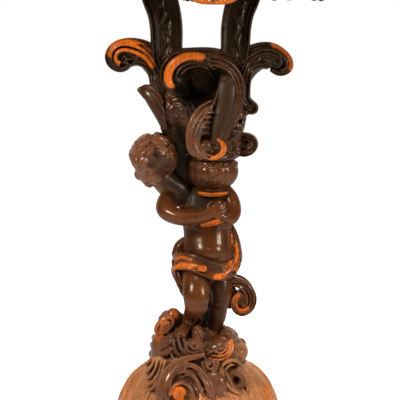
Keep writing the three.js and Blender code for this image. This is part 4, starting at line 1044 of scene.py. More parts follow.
HEAD_SPOT = (-94, -24, 552)
HEAD_SCALE = 0.97
HEAD_WAY = (-0.42, -0.62, -0.66)
HEAD_UP = (-0.15, -0.6, 0.78)


def head_place():
    """The matrix that stands the head, made facing -Y, on the neck."""
    front = Vector(HEAD_WAY).normalized()
    side = front.cross(Vector(HEAD_UP)).normalized()
    place = Matrix.Identity(4)
    place.col[0][:3] = side
    place.col[1][:3] = -front
    place.col[2][:3] = side.cross(front)
    place.col[3][:3] = HEAD_SPOT
    return place


SKULL = Vector((0, 5, 7))
SKULL_RADII = Vector((41, 44, 40))


def scalp(polar, azimuth, lift):
    """A place and its inward normal on the skull: polar from the crown, azimuth 0 in front."""
    p, a = math.radians(polar), math.radians(azimuth)
    tilt = Matrix.Rotation(math.radians(-12), 3, "X")
    way = tilt @ Vector((math.sin(p) * math.sin(a), -math.sin(p) * math.cos(a), math.cos(p)))
    spot = SKULL + Vector((way[k] * (SKULL_RADII[k] + lift) for k in range(3)))
    return (*spot, *(-way))


# A lock's places: how far along it, how much of its bend, and how much of its lift.
LOCK = ((0.0, 0.0, 0.6), (0.3, 0.45, 1.0), (0.62, 0.75, 1.0), (0.88, 0.45, 0.7), (1.0, 0.05, 0.3))


def hair(bm):
    """Flowing locks in tiers round the crown, each bent like a comma, with finer strands on top."""
    locks = random.Random(5)
    for tier, start in enumerate((3, 26, 50, 74, 97)):
        count = max(7, round(TAU * 44 * math.sin(math.radians(start + 14)) / 12.5))
        for k in range(count):
            azimuth = (k + 0.5 * (tier % 2)) * 360 / count + locks.uniform(-4, 4)
            facing = math.cos(math.radians(azimuth))
            limit = 100 - 44 * max(0, facing) ** 0.6 + 20 * max(0, -facing)
            if start > limit:
                continue
            length = 40 + locks.uniform(-4, 6)
            steep = math.sin(math.radians(start + 18))
            bend = locks.choice((-1, 1, 1)) * locks.uniform(12, 22) / max(0.4, steep)
            lift = 3.4 + locks.uniform(-0.5, 1.2)
            rows = [scalp(start + length * t, azimuth + bend * b, lift * h) for t, b, h in LOCK]
            stroke(bm, rows, 7.6, 4.4, section=SMALL, fat=0.5)
            for strand in (-1, 0, 1):
                lean = strand * 5.2 / max(0.35, steep)
                rows = []
                for t, b, h in LOCK[:4]:
                    azimuth_there = azimuth + bend * b + lean * (1 - 0.75 * t * t)
                    rows.append(scalp(start + length * t, azimuth_there, lift * h + 2.8))
                stroke(bm, rows, 1.7, 2.6, section=SMALL, fat=0.45)


def head():
    """A calm, generic child's head in curls, bent down over the shoulder, on a plump neck."""
    bm = bmesh.new()
    lump(bm, SKULL, SKULL_RADII, rings=20)
    for centre, radii in (
        ((0, -11, -11), (33, 33, 33)), ((0, -23, 10), (29, 19, 20)), ((0, -31, -37), (9.5, 8.5, 7)),
        ((0, -20, -39), (17, 13, 8)),
    ):
        lump(bm, centre, radii, rings=16)
    for side in (-1, 1):
        lump(bm, (side * 17.5, -27, -17), (14.5, 13.5, 13.5), rings=14)
        lump(bm, (side * 14, -17, -27), (14, 15, 12), rings=14)
        lump(bm, (side * 38, 3, -9), (5, 9, 11.5), rings=12)
    face = melted(bm, 1.3, 2)
    for side in (-1, 1):
        dished(face, 5.0, (side * 13.5, -41, -2), (10, 14, 8))
        moved(face, lambda p, s=side: Vector((-s * 3.0, 0, 0)) * bump(p, (s * 44, 1, -9), (8, 6, 7)))
    for side in (-1, 1):
        lump(face, (side * 13.2, -34.5, -2.5), (5.6, 4.6, 4.6), rings=12)
        for arch, z in ((3.4, 0.2), (-2.4, -4.6)):
            lid = [(side * (13.2 + t * 6.2), -38.6 + 1.6 * t * t, z + arch * (1 - t * t))
                   for t in (-1, -0.5, 0, 0.5, 1)]
            stroke(face, lid, 1.3, 1.7, section=SMALL)
        brow = [(side * (13.0 + t * 9), -39.4 + 3.4 * t * t, 8.6 - 2.6 * t * t) for t in (-1, -0.4, 0.2, 1)]
        stroke(face, brow, 2.0, 1.5, section=SMALL)
        lump(face, (side * 3.8, -43.0, -14.4), (2.7, 2.9, 2.3), rings=8)
        ear = [(side * 41, -2 + 8 * math.sin(a), -9 + 10.5 * math.cos(a))
               for a in (-0.7, 0.1, 0.9, 1.8, 2.7)]
        stroke(face, ear, 1.8, 2.2, back=(-side, 0, 0), section=SMALL)
    stroke(face, [(0, -39.5, 4), (0, -41.5, -4), (0, -45, -11)], 3.4, 3.6, section=SMALL, fat=0.8)
    lump(face, (0, -46.2, -13), (4.3, 4.2, 3.8), rings=10)
    lip = [(-7.6, -40.4, -24.6), (-3.4, -42.8, -22.6), (0, -43.6, -23.6), (3.4, -42.8, -22.6),
           (7.6, -40.4, -24.6)]
    stroke(face, lip, 1.7, 2.0, section=SMALL)
    stroke(face, [(-5.8, -40.6, -26.8), (0, -43.4, -28.2), (5.8, -40.6, -26.8)], 2.2, 2.2, section=SMALL)
    hair(face)
    bmesh.ops.transform(face, matrix=head_place() @ Matrix.Scale(HEAD_SCALE, 4), verts=face.verts)
    neck = [(-88, -12, 530, 22, 22), (-70, -6, 510, 25, 25), (-46, 3, 490, 30, 27), (-34, 6, 478, 24, 22)]
    loft(face, neck, oval(28), steps=8)
    return melted(face, 1.18, 1)


# ---- Drapery ----

def waist_drapery():
    """The cloth wound round the hips in rolled folds, knotted in a swirl in front."""
    bm = bmesh.new()
    front = [(-32, 40, 342, 15, 9), (-48, 10, 341, 17, 9), (-41, -28, 351, 18, 10), (-14, -50, 354, 18, 11),
             (15, -56, 344, 18, 11), (43, -48, 336, 18, 11), (62, -18, 338, 19, 10), (65, 18, 342, 17, 10)]
    loft(bm, front, FOLDS, back=(1, 0, 0), steps=10)
    behind = [(65, 14, 342, 17, 9), (50, 44, 346, 18, 9), (18, 53, 348, 18, 9), (-18, 49, 345, 17, 9),
              (-38, 28, 340, 15, 9)]
    loft(bm, behind, FOLDS, back=(-1, -0.2, 0), steps=8)
    hip = [(-30, 4, 390, 8, 14), (-41, 2, 378, 10, 14), (-45, 0, 360, 12, 12)]
    loft(bm, hip, SMOOTH, steps=6)
    body = melted(bm, 1.6, 1)
    ground = Ground(body)
    for spots, width in (
        ([(-54, 348), (-47, 359), (-34, 365), (-19, 363), (-5, 358), (10, 350)], 4.6),
        ([(-52, 340), (-45, 352), (-32, 356), (-15, 355), (2, 350)], 4.2),
        ([(-53, 330), (-49, 342), (-36, 348), (-18, 349), (-3, 348), (9, 342)], 4.2),
        ([(9, 341), (25, 333), (39, 333), (53, 341), (62, 352)], 4.6),
        ([(25, 341), (35, 335), (43, 341), (50, 353)], 3.8),
        ([(15, 327), (33, 325), (51, 325), (64, 330), (72, 342)], 4.6),
        ([(39, 329), (53, 333), (63, 341), (70, 350)], 3.6),
        ([(-20, 342), (-6, 340), (6, 332)], 4.0),
    ):
        ridge(body, ground, spots, width, width + 1, section=SMALL, steps=5)
    for k, rise in enumerate((354, 346, 338, 330)):
        for side in (125, 160, 195, 235):
            spots = [(-34, rise + 3 * math.sin(k + side)), (-10, rise - 4), (14, rise + 3), (36, rise - 2)]
            ridge(body, ground, spots, 3.8, 4.2, side, section=SMALL)
    swirl = curl((7, -70, 346), (8, 2), (200, -260), (3.2, 2.6), 4.5, stops=10)
    loft(body, swirl, SMALL, steps=4)
    for spots in ([(-38, 386), (-43, 374), (-46, 360)], [(-32, 384), (-36, 372), (-36, 362)]):
        ridge(body, ground, spots, 3.4, 4, section=SMALL)
    return melted(body, 1.29, 1)


def drapery_fall():
    """The end of the cloth that hangs down on the left in narrowing folds."""
    bm = bmesh.new()
    path = [(-46, -6, 348, 10, 13), (-43, -14, 328, 10, 13), (-38, -20, 311, 9, 12), (-33, -22, 297, 8, 10),
            (-30, -22, 284, 5, 7)]
    loft(bm, path, FOLDS, steps=8)
    for rows in ([(-50, -20, 344), (-48, -28, 326), (-42, -33, 308), (-35, -33, 294), (-31, -29, 284)],
                 [(-43, -20, 342), (-40, -28, 326), (-35, -33, 310), (-31, -33, 298)],
                 [(-53, -8, 340), (-52, -14, 326), (-46, -20, 308)]):
        stroke(bm, rows, 4.0, 5, section=SMALL)
    loft(bm, [(-34, -10, 330, 16, 14), (-29, -14, 306, 14, 12), (-26, -12, 288, 8, 8)], SMOOTH, steps=6)
    return melted(bm, 1.23, 1)


def side_drapery():
    """The length of cloth up the figure's side, in long folds."""
    bm = bmesh.new()
    path = [(54, 16, 436, 6, 7), (60, 12, 418, 7, 9), (67, 10, 402, 8, 10), (72, 6, 384, 9, 11),
            (74, 2, 363, 10, 12), (72, -6, 344, 10, 12), (65, -16, 328, 9, 10)]
    loft(bm, path, FOLDS, back=(-0.5, 0.9, 0), steps=8)
    for rows in ([(58, 4, 428), (62, -4, 404), (63, -8, 378), (63, -12, 354), (60, -20, 336)],
                 [(66, 4, 414), (71, -2, 390), (75, -8, 364), (73, -16, 344)],
                 [(74, 12, 400), (80, 8, 376), (83, 2, 354), (79, -8, 336)]):
        stroke(bm, rows, 4.2, 5, back=(-0.5, 0.9, 0), section=SMALL)
    loft(bm, [(60, 26, 420, 8, 10), (66, 28, 380, 9, 12), (66, 24, 346, 9, 12)], SMOOTH, steps=6)
    return melted(bm, 1.23, 1)


def drapery_scroll():
    """The big rolled end of the cloth on the right: a broad band with a groove and an inner roll."""
    bm = bmesh.new()
    path = [(44, -10, 303, 8, 14), (66, -6, 310, 8, 17), (87, -2, 305, 7.5, 18), (101, 0, 290, 7.5, 18),
            (106, 0, 273, 7.5, 18), (101, 0, 257, 7.5, 18), (87, 0, 248, 7.5, 17), (75, 0, 255, 7, 16),
            (72, -2, 271, 6.5, 15), (81, -4, 283, 6, 14), (92, -4, 278, 5.5, 13), (94, -4, 265, 5, 12),
            (86, -4, 260, 4, 11)]
    section = ridged([(-0.75, 0.25, 0.3), (0.1, 0.5, 0.12), (0.85, 0.15, 0.3)], floor=0.75, both=True)
    loft(bm, path, section, steps=7)
    lump(bm, (84, 0, 270), (16, 11, 16), rings=12)
    lump(bm, (62, 0, 276), (16, 12, 26), rings=12)
    lump(bm, (58, 0, 300), (16, 13, 12), rings=12)
    for rows in ([(56, -22, 316), (72, -23, 316), (90, -21, 310), (106, -19, 294), (111, -18, 272),
                  (105, -18, 253)],
                 [(60, -21, 303), (72, -22, 302), (86, -21, 295), (95, -20, 283), (97, -20, 268),
                  (91, -20, 258)]):
        stroke(bm, rows, 2.4, 3.4, section=SMALL, steps=6)
        stroke(bm, [(x, -y, z) for x, y, z in rows], 2.4, 3.4, back=(0, -1, 0), section=SMALL, steps=6)
    return melted(bm, 1.23, 1)


def sash():
    """The narrow sash that crosses below the hand."""
    bm = bmesh.new()
    path = [(4, -48, 430, 3, 4), (13, -53, 432, 4.5, 6), (27, -57, 436, 5.5, 6.5), (41, -56, 441, 5.5, 6.5),
            (53, -49, 445, 4.5, 6), (60, -38, 447, 4, 5)]
    loft(bm, path, FOLDS, steps=8)
    stroke(bm, [(10, -59, 435), (26, -63, 441), (42, -61, 446), (54, -52, 449)], 1.6, 3, section=SMALL)
    return melted(bm, 1.01, 1)


# ---- Top and apron ----

def top_board():
    """The round top: a moulded edge over the apron and a fine bead round its face."""
    bm = bmesh.new()
    r, low, high = TOP_RADIUS, HEIGHT - TOP_THICK, HEIGHT
    nosing = arc((r - 7, low + 13), 7, -70, 90, 12)
    cove = arc((r - 1, low + 2), 8, 200, 130, 6)
    bead = arc((r - 20, high - 1), 2.2, 20, 160, 6)
    face = high - 1.2
    profile = [(0, low), (r - 14, low), *cove, *nosing, (r - 12, high - 1.6), *bead,
               (r - 24, face), (0, face)]
    turned(bm, profile, sides=240)
    return bm


def on_apron(turn, along, z, out=0.0):
    """A place on the apron's round wall: along it in millimetres from a piece's middle."""
    angle = turn + along / APRON_RADIUS
    reach = APRON_RADIUS + out
    return (reach * math.sin(angle), -reach * math.cos(angle), z)


def to_axis(place):
    """The way from a place back to the stand's axis."""
    return Vector((-place[0], -place[1], 0))


def apron_wall(turn, drop):
    """The bent wall of an apron piece, which hangs down by drop(u) with u from -1 to 1."""
    bm = bmesh.new()
    high = APRON_TOP
    half = APRON_RADIUS * math.pi / APRON_PIECES - 0.5
    rows = []
    for k in range(25):
        u = -1 + k / 12
        depth = drop(u)
        rows.append((*on_apron(turn, u * half, high - depth / 2), depth / 2, 7))
    square = [(-1, -0.8), (-0.9, -1), (0.9, -1), (1, -0.8), (1, 0.8), (0.9, 1), (-0.9, 1), (-1, 0.8)]
    loft(bm, rows, square, back=to_axis, steps=2, blunt=0)
    lip = [(*on_apron(turn, u * half, high - 3.2, 6.5), 3, 3.5) for u in (-1, -0.6, -0.2, 0.2, 0.6, 1)]
    loft(bm, lip, SMALL, back=to_axis, steps=4, blunt=0)
    return bm


def apron_shell(turn, hang=0):
    """A shell between two C scrolls, with a scalloped lower edge that may hang lower."""
    high = APRON_TOP
    bm = apron_wall(turn, lambda u: 22 + (11 + hang / 2) * max(0, math.cos(u * math.pi / 2)))
    for k in range(-4, 5):
        spread = math.radians(k * 19)
        wide = math.copysign(abs(math.sin(spread)) ** 0.9, k) * (31 + hang * 1.4)
        deep = math.cos(spread) ** 0.4 * (33 + hang)
        rows = [on_apron(turn, wide * t, high - 6 - deep * t, 7 + 4.5 * math.sin(t * 2.6))
                for t in (0.12, 0.4, 0.7, 0.95, 1.03)]
        stroke(bm, rows, 4.5 + hang / 8, 4.6, back=to_axis, section=SMALL, fat=0.75, steps=5)
    if hang:
        rim = []
        for a in (-1.2, -0.9, -0.6, -0.3, 0.3, 0.6, 0.9, 1.2):
            along = math.copysign(abs(math.sin(a)) ** 0.9, a) * (30 + hang * 1.4)
            rim.append((*on_apron(turn, along, high - 5.5 - math.cos(a) ** 0.4 * (33 + hang), 10), 3.2, 4))
        loft(bm, rim, SMALL, back=to_axis, steps=5)
    lump(bm, on_apron(turn, 0, high - 8, 9), (6, 6, 5), rings=8)
    for flip in (-1, 1):
        spiral = []
        for radius, a in ((24, 3.5), (22, 4.1), (17, 4.8), (14, 5.6), (12.5, 6.4), (11, 7.3), (8.5, 8.3),
                          (6, 9.4), (3.5, 10.4)):
            along = flip * (52 + radius * math.cos(a))
            spiral.append((*on_apron(turn, along, high - 17 + radius * math.sin(a), 8), 3.4, 5))
        loft(bm, spiral, SMALL, back=to_axis, steps=6)
        for lift, reach in ((20, 72), (26, 66), (31, 58)):
            leaf = [on_apron(turn, flip * (reach + along), high - lift + rise, out)
                    for along, rise, out in ((-26, -2, 7), (-12, 0, 10), (4, 6, 7))]
            stroke(bm, leaf, 4, 4, back=to_axis)
    return melted(bm, 1.68, 1)


def apron_scroll(turn):
    """Two leafy scrolls that meet in a tongue."""
    high = APRON_TOP
    bm = apron_wall(turn, lambda u: 20 + 9 * abs(math.sin(u * math.pi)) + 6 * max(0, 1 - (u * 4) ** 2))
    for flip in (-1, 1):
        outer = [(*on_apron(turn, flip * x, high - drop, 8), size, 5.5)
                 for x, drop, size in ((84, 10, 3), (70, 22, 4), (54, 30, 4.6), (36, 32, 4.6),
                                       (22, 25, 4.4), (18, 15, 4), (26, 9, 3.6), (34, 13, 3.2),
                                       (34, 19, 2.6))]
        loft(bm, outer, SMALL, back=to_axis, steps=7)
        inner = [(*on_apron(turn, flip * x, high - drop, 8), 2.6, 4.2)
                 for x, drop in ((78, 8), (64, 17), (52, 23), (44, 22), (42, 15))]
        loft(bm, inner, SMALL, back=to_axis, steps=6)
        for x in (66, 57, 48):
            leaf = [on_apron(turn, flip * (x + along), high - drop, out)
                    for along, drop, out in ((-3, 18, 8), (1, 25, 10), (6, 29, 8))]
            stroke(bm, leaf, 3.8, 4, back=to_axis)
    for k in (-1, 0, 1):
        tongue = [on_apron(turn, k * along, high - drop, out)
                  for along, drop, out in ((3, 8, 8), (6, 22, 12), (4, 37, 9))]
        stroke(bm, tongue, 4, 4.4, back=to_axis, section=SMALL)
    return melted(bm, 1.68, 1)


# ---- Finishes ----

def group(name, inputs, outputs):
    """An empty shader node group with named sockets."""
    tree = bpy.data.node_groups.new(name, "ShaderNodeTree")
    for label, kind, value in inputs:
        socket = tree.interface.new_socket(label, in_out="INPUT", socket_type=kind)
        socket.default_value = value
    for label, kind in outputs:
        tree.interface.new_socket(label, in_out="OUTPUT", socket_type=kind)
    return tree, tree.nodes.new("NodeGroupInput"), tree.nodes.new("NodeGroupOutput")


def node(tree, kind, **settings):
    """A node with its settings; a key written as a socket's name sets that input."""
    made = tree.nodes.new(kind)
    for key, value in settings.items():
        if hasattr(made, key):
            setattr(made, key, value)
        else:
            made.inputs[key.replace("_", " ")].default_value = value
    return made


def fed(tree, socket, value):
    """Links an input to another node's output, or sets it to a number or a colour."""
    if isinstance(value, bpy.types.NodeSocket):
        tree.links.new(value, socket)
    else:
        socket.default_value = value if isinstance(value, float) else (*value, 1)


def blend_colour(tree, factor, under, over):
    """A Mix node for colours, whose factor and colours are sockets or values."""
    mix = node(tree, "ShaderNodeMix", data_type="RGBA", clamp_factor=True)
    for socket, value in ((mix.inputs[0], factor), (mix.inputs[6], under), (mix.inputs[7], over)):
        fed(tree, socket, value)
    return mix.outputs[2]


def maths(tree, kind, first, second, clamp=False):
    """A Math node of two sockets or numbers."""
    made = node(tree, "ShaderNodeMath", operation=kind, use_clamp=clamp)
    for socket, value in zip(made.inputs, (first, second)):
        fed(tree, socket, value)
    return made.outputs[0]


def ramped(tree, value, low, high, to_low=0.0, to_high=1.0):
    """A smooth step of a value between two marks."""
    step = node(tree, "ShaderNodeMapRange", interpolation_type="SMOOTHSTEP")
    tree.links.new(value, step.inputs["Value"])
    for label, number in (("From Min", low), ("From Max", high), ("To Min", to_low), ("To Max", to_high)):
        step.inputs[label].default_value = number
    return step.outputs["Result"]


def wear_and_shade_group():
    """Where hands and cloths rub a carving, and how dark its grooves and hollows are made: painted shade
    from their curvature and ambient occlusion, with the dust that settles there.
    """
    tree, given, out = group(
        "wear_and_shade_carving",
        [("Reach", "NodeSocketFloat", 0.016)],
        [("Edge", "NodeSocketFloat"), ("Dust_And_Shade", "NodeSocketFloat")],
    )
    geometry = tree.nodes.new("ShaderNodeNewGeometry")
    # Ambient occlusion finds where shade falls in the recesses; darkening the colour by it is painted
    # shade.
    cavity = node(tree, "ShaderNodeAmbientOcclusion", samples=6)
    tree.links.new(given.outputs["Reach"], cavity.inputs["Distance"])
    edge = ramped(tree, geometry.outputs["Pointiness"], 0.515, 0.6)
    groove = ramped(tree, geometry.outputs["Pointiness"], 0.485, 0.41)
    shade = ramped(tree, cavity.outputs["AO"], 0.75, 0.15)
    tree.links.new(edge, out.inputs["Edge"])
    # Grooves and recesses together: painted shade, with some dust.
    tree.links.new(maths(tree, "MAXIMUM", groove, shade), out.inputs["Dust_And_Shade"])
    return tree


def grain_group():
    """The mottle of the dye and the long fibres of walnut, along Z."""
    tree, given, out = group(
        "walnut_grain",
        [("Vector", "NodeSocketVector", (0, 0, 0)), ("Cloud", "NodeSocketFloat", 22.0)],
        [("Mottle", "NodeSocketFloat"), ("Fibre", "NodeSocketFloat")],
    )
    cloud = node(tree, "ShaderNodeTexNoise", Detail=4.0, Roughness=0.6)
    stretch = node(tree, "ShaderNodeMapping", Scale=(260.0, 260.0, 14.0))
    fibre = node(tree, "ShaderNodeTexNoise", Scale=1.0, Detail=3.0, Distortion=0.6)
    tree.links.new(given.outputs["Vector"], cloud.inputs["Vector"])
    tree.links.new(given.outputs["Cloud"], cloud.inputs["Scale"])
    tree.links.new(given.outputs["Vector"], stretch.inputs["Vector"])
    tree.links.new(stretch.outputs["Vector"], fibre.inputs["Vector"])
    tree.links.new(ramped(tree, cloud.outputs["Fac"], 0.35, 0.68), out.inputs["Mottle"])
    tree.links.new(fibre.outputs["Fac"], out.inputs["Fibre"])
    return tree


WEAR_AND_SHADE = wear_and_shade_group()
GRAIN = grain_group()


def carved_finish(name, deep, main, light, honey, gloss=0.26, coat=0.2, punched=0.0, reach=0.014):
    """Stained and varnished carving: deep in the hollows, main on the faces, light on the edges. The deep
    in the hollows is painted shade with some dust, a painted sheen pales the colour at grazing angles, and
    marks below 0 lay painted shade.
    """
    material = bpy.data.materials.new(name)
    material.use_nodes = True
    tree = material.node_tree
    shader = tree.nodes["Principled BSDF"]
    spot = tree.nodes.new("ShaderNodeTexCoord").outputs["Object"]
    edge_wear_and_shade = node(tree, "ShaderNodeGroup", node_tree=WEAR_AND_SHADE)
    edge_wear_and_shade.inputs["Reach"].default_value = reach
    grain = node(tree, "ShaderNodeGroup", node_tree=GRAIN)
    tree.links.new(spot, grain.inputs["Vector"])
    honey_and_shade = node(tree, "ShaderNodeAttribute", attribute_name="honey_and_shade")
    mottle, fibre = grain.outputs["Mottle"], grain.outputs["Fibre"]
    edge, hollow = edge_wear_and_shade.outputs["Edge"], edge_wear_and_shade.outputs["Dust_And_Shade"]
    faces = blend_colour(tree, mottle, [c * 0.55 for c in main], main)
    faces = blend_colour(tree, ramped(tree, fibre, 0.3, 0.75, 0.0, 0.35), faces, [c * 1.5 for c in main])
    # Marks below 0 are painted shade: the colour goes to the deep tone where the carving falls in shadow.
    painted_shade = maths(tree, "MULTIPLY", honey_and_shade.outputs["Fac"], -1.0, clamp=True)
    rub = maths(tree, "MAXIMUM", honey_and_shade.outputs["Fac"], 0.0)
    rub = maths(tree, "MULTIPLY", rub, ramped(tree, mottle, 0.0, 0.5, 0.75, 1.0))
    orange = blend_colour(tree, ramped(tree, fibre, 0.35, 0.7), [c * 0.62 for c in honey], honey)
    coloured = blend_colour(tree, rub, faces, orange)
    wear = maths(tree, "MULTIPLY", edge, ramped(tree, mottle, 0.1, 0.9, 0.25, 0.85))
    coloured = blend_colour(tree, wear, coloured, light)
    # Painted sheen: the colour pales towards grazing angles, standing in for the reflection of the bright
    # surroundings.
    turned_away = node(tree, "ShaderNodeLayerWeight", Blend=0.3)
    sheen = ramped(tree, turned_away.outputs["Facing"], 0.45, 0.95, 0.0, 0.75)
    coloured = blend_colour(tree, sheen, coloured, [c * 2.6 + 0.02 for c in main])
    # Grooves and recesses take the deep tone: painted shade, with some dust.
    coloured = blend_colour(tree, maths(tree, "MULTIPLY", hollow, 0.92), coloured, deep)
    coloured = blend_colour(tree, painted_shade, coloured, deep)
    height = maths(tree, "MULTIPLY", fibre, 0.35)
    fine = node(tree, "ShaderNodeTexNoise", Scale=320.0, Detail=2.0)
    tree.links.new(spot, fine.inputs["Vector"])
    height = maths(tree, "ADD", height, maths(tree, "MULTIPLY", fine.outputs["Fac"], 0.5))
    if punched:
        pits = node(tree, "ShaderNodeTexVoronoi", Scale=210.0, feature="F1")
        tree.links.new(spot, pits.inputs["Vector"])
        pit = ramped(tree, pits.outputs["Distance"], 0.36, 0.14)
        patch = node(tree, "ShaderNodeTexNoise", Scale=16.0)
        tree.links.new(spot, patch.inputs["Vector"])
        pit = maths(tree, "MULTIPLY", pit, ramped(tree, patch.outputs["Fac"], 0.42, 0.56, 0.1, punched))
        coloured = blend_colour(tree, pit, coloured, deep)
        height = maths(tree, "SUBTRACT", height, maths(tree, "MULTIPLY", pit, 2.0))
    tree.links.new(coloured, shader.inputs["Base Color"])
    rough = ramped(tree, fine.outputs["Fac"], 0.3, 0.7, gloss * 0.8, gloss * 1.25)
    dull = maths(tree, "MAXIMUM", hollow, painted_shade)
    rough = maths(tree, "ADD", rough, maths(tree, "MULTIPLY", dull, 0.35), clamp=True)
    tree.links.new(rough, shader.inputs["Roughness"])
    shader.inputs["Specular IOR Level"].default_value = 0.35
    shader.inputs["Specular Tint"].default_value = (1.0, 0.76, 0.52, 1)
    # Painted shade also loses most of its coat.
    tree.links.new(ramped(tree, painted_shade, 0.1, 0.9, coat, coat * 0.2), shader.inputs["Coat Weight"])
    shader.inputs["Coat Roughness"].default_value = 0.09
    relief = node(tree, "ShaderNodeBump", Strength=0.35, Distance=0.0006)
    tree.links.new(height, relief.inputs["Height"])
    tree.links.new(relief.outputs["Normal"], shader.inputs["Normal"])
    return material


# DEEP is the very dark tone of the punched pits and of the painted shade.
DEEP = (0.006, 0.003, 0.001)
HONEY_TONE = (0.95, 0.19, 0.010)
DARK = carved_finish("dark_varnish", DEEP, (0.032, 0.012, 0.003), (0.20, 0.075, 0.03), HONEY_TONE)
UPRIGHT = carved_finish("upright_varnish", DEEP, (0.022, 0.008, 0.002), (0.15, 0.055, 0.022), HONEY_TONE,
                        gloss=0.36, coat=0.07)
LEAF = carved_finish("leaf_varnish", DEEP, (0.075, 0.023, 0.007), (0.36, 0.15, 0.075), HONEY_TONE)
FIGURE = carved_finish("figure_varnish", DEEP, (0.130, 0.034, 0.007), (0.36, 0.14, 0.07),
                       HONEY_TONE, reach=0.009)
# Paler than the figure's finish: painted light on the lit hair on top of the head; the face is darkened
# again by painted shade.
HAIR = carved_finish("hair_varnish", DEEP, (0.215, 0.070, 0.027), (0.78, 0.40, 0.27), HONEY_TONE,
                     gloss=0.22, coat=0.42, reach=0.007)
ROCK_DEEP = (0.016, 0.007, 0.003)
ROCK = carved_finish("rock_varnish", ROCK_DEEP, (0.198, 0.064, 0.025), (0.60, 0.27, 0.14), HONEY_TONE,
                     gloss=0.23, coat=0.36)
# TAN and the pale finish are the lightest, for the lower pieces: lighter towards the bottom.
TAN = carved_finish("tan_varnish", ROCK_DEEP, (0.40, 0.145, 0.048), (0.75, 0.34, 0.14), HONEY_TONE)
PALE = carved_finish("pale_base_varnish", (0.08, 0.030, 0.010), (0.62, 0.225, 0.070), (0.85, 0.40, 0.17),
                     HONEY_TONE, gloss=0.4, punched=0.7)
HONEY = carved_finish("honey_varnish", (0.10, 0.022, 0.003), (0.85, 0.17, 0.010),
                      (0.95, 0.36, 0.07), HONEY_TONE)


def plain_finish(name, colour, roughness, metallic=0.0):
    """A bare surface with its own fine unevenness."""
    material = bpy.data.materials.new(name)
    material.use_nodes = True
    tree = material.node_tree
    shader = tree.nodes["Principled BSDF"]
    spot = tree.nodes.new("ShaderNodeTexCoord").outputs["Object"]
    grain = node(tree, "ShaderNodeGroup", node_tree=GRAIN)
    tree.links.new(spot, grain.inputs["Vector"])
    tone = blend_colour(tree, grain.outputs["Fibre"], [c * 0.7 for c in colour], colour)
    tree.links.new(tone, shader.inputs["Base Color"])
    shader.inputs["Roughness"].default_value = roughness
    shader.inputs["Metallic"].default_value = metallic
    relief = node(tree, "ShaderNodeBump", Strength=0.3, Distance=0.0003)
    tree.links.new(grain.outputs["Fibre"], relief.inputs["Height"])
    tree.links.new(relief.outputs["Normal"], shader.inputs["Normal"])
    return material


BEECH = plain_finish("bare_beech", (0.60, 0.42, 0.23), 0.65)
STEEL = plain_finish("plain_steel", (0.45, 0.45, 0.43), 0.35, 1.0)
FINISHES = {"dark_walnut": DARK, "pale_walnut": PALE, "honey": DARK, "beech": BEECH, "steel": STEEL}
WEAR_SPREAD = 1.8
SHARP_ANGLE = math.radians(40)


def honey_and_shade_spots(bm, honey_and_shade):
    """Places (x, y, z, radius, strength) on the carving, close together along each path: honey where the
    strength is above 0, painted shade where it is below.
    """
    ground = Ground(bm)
    spots = []
    for path, radius, strength in honey_and_shade:
        dense = spline([(*spot, 0) for spot in path], 5)
        spots += [(*row[:3], radius, strength) for row in ground.laid([row[:2] for row in dense])]
    return spots


def wear(mesh, honey_and_shade_marks):
    """Writes each vertex's mark: 1 where the varnish is honey, -1 where painted shade is darkest."""
    points = np.zeros(len(mesh.vertices) * 3, np.float32)
    mesh.vertices.foreach_get("co", points)
    points = points.reshape(-1, 3) / MM
    honey, shade_share = np.zeros((2, len(points)), np.float32)
    for x, y, z, radius, strength in honey_and_shade_marks:
        near = 1 - np.linalg.norm(points - (x, y, z), axis=1) / radius
        near = np.clip(near * WEAR_SPREAD, 0, 1)
        spread = strength * near * near * (3 - 2 * near)
        honey, shade_share = np.maximum(honey, spread), np.maximum(shade_share, -spread)
    tones = np.where(honey > shade_share, honey, -shade_share)
    mesh.attributes.new("honey_and_shade", "FLOAT", "POINT").data.foreach_set("value", tones)


for subpart in frame["record"]["subparts"]:
    shown = frame["nodes"][subpart["node"]]
    shown.data.materials.clear()
    shown.data.materials.append(FINISHES[subpart["material_slot"]])


# ---- Assembly ----

def part(name, bm, material=DARK, honey_and_shade=(), nodes=None):
    """Turns a bmesh in millimetres into a piece that stands for the CAD node of its name, or for nodes.

    The honey and shade list holds (path of (x, z) seen from the front, radius, strength): where the varnish
    is honey, or with a strength below 0 where shade is painted, very dark, into the colour.
    """
    bmesh.ops.recalc_face_normals(bm, faces=bm.faces)
    honey_and_shade_marks = honey_and_shade_spots(bm, honey_and_shade)
    bmesh.ops.scale(bm, vec=(MM, MM, MM), verts=bm.verts)
    mesh = bpy.data.meshes.new(name + "_carved")
    bm.to_mesh(mesh)
    bm.free()
    mesh.shade_smooth()
    mesh.set_sharp_from_angle(angle=SHARP_ANGLE)
    wear(mesh, honey_and_shade_marks)
    piece = bpy.data.objects.new(name + "_carved", mesh)
    bpy.context.scene.collection.objects.link(piece)
    mesh.materials.append(material)
    nodes = nodes or [name]
    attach(piece, "root")
    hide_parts(*nodes)


# In the lists below, a strength below 0 is painted shade: a very dark tone laid on the parts that fall in
# shadow.
part("plinth", plinth())
part("base_dome", dome(), PALE, honey_and_shade=(([(136, 100), (140, 84)], 12, 0.7),))
part("base_scroll_front", base_scroll_front(), ROCK, honey_and_shade=(
    ([(-38, 125), (-28, 121), (-25, 112), (-34, 107), (-43, 114)], 15, 1),))
# Painted shade in the hollows of this scroll.
part("base_scroll_right", base_scroll_right(), TAN,
     honey_and_shade=(([(58, 152), (74, 142), (82, 126)], 18, -0.6),))
part("base_scroll_back", base_scroll_back(), PALE)
part("base_leaf_left", base_leaf_left(), TAN)
part("base_shell_front", base_shell_front(), ROCK)
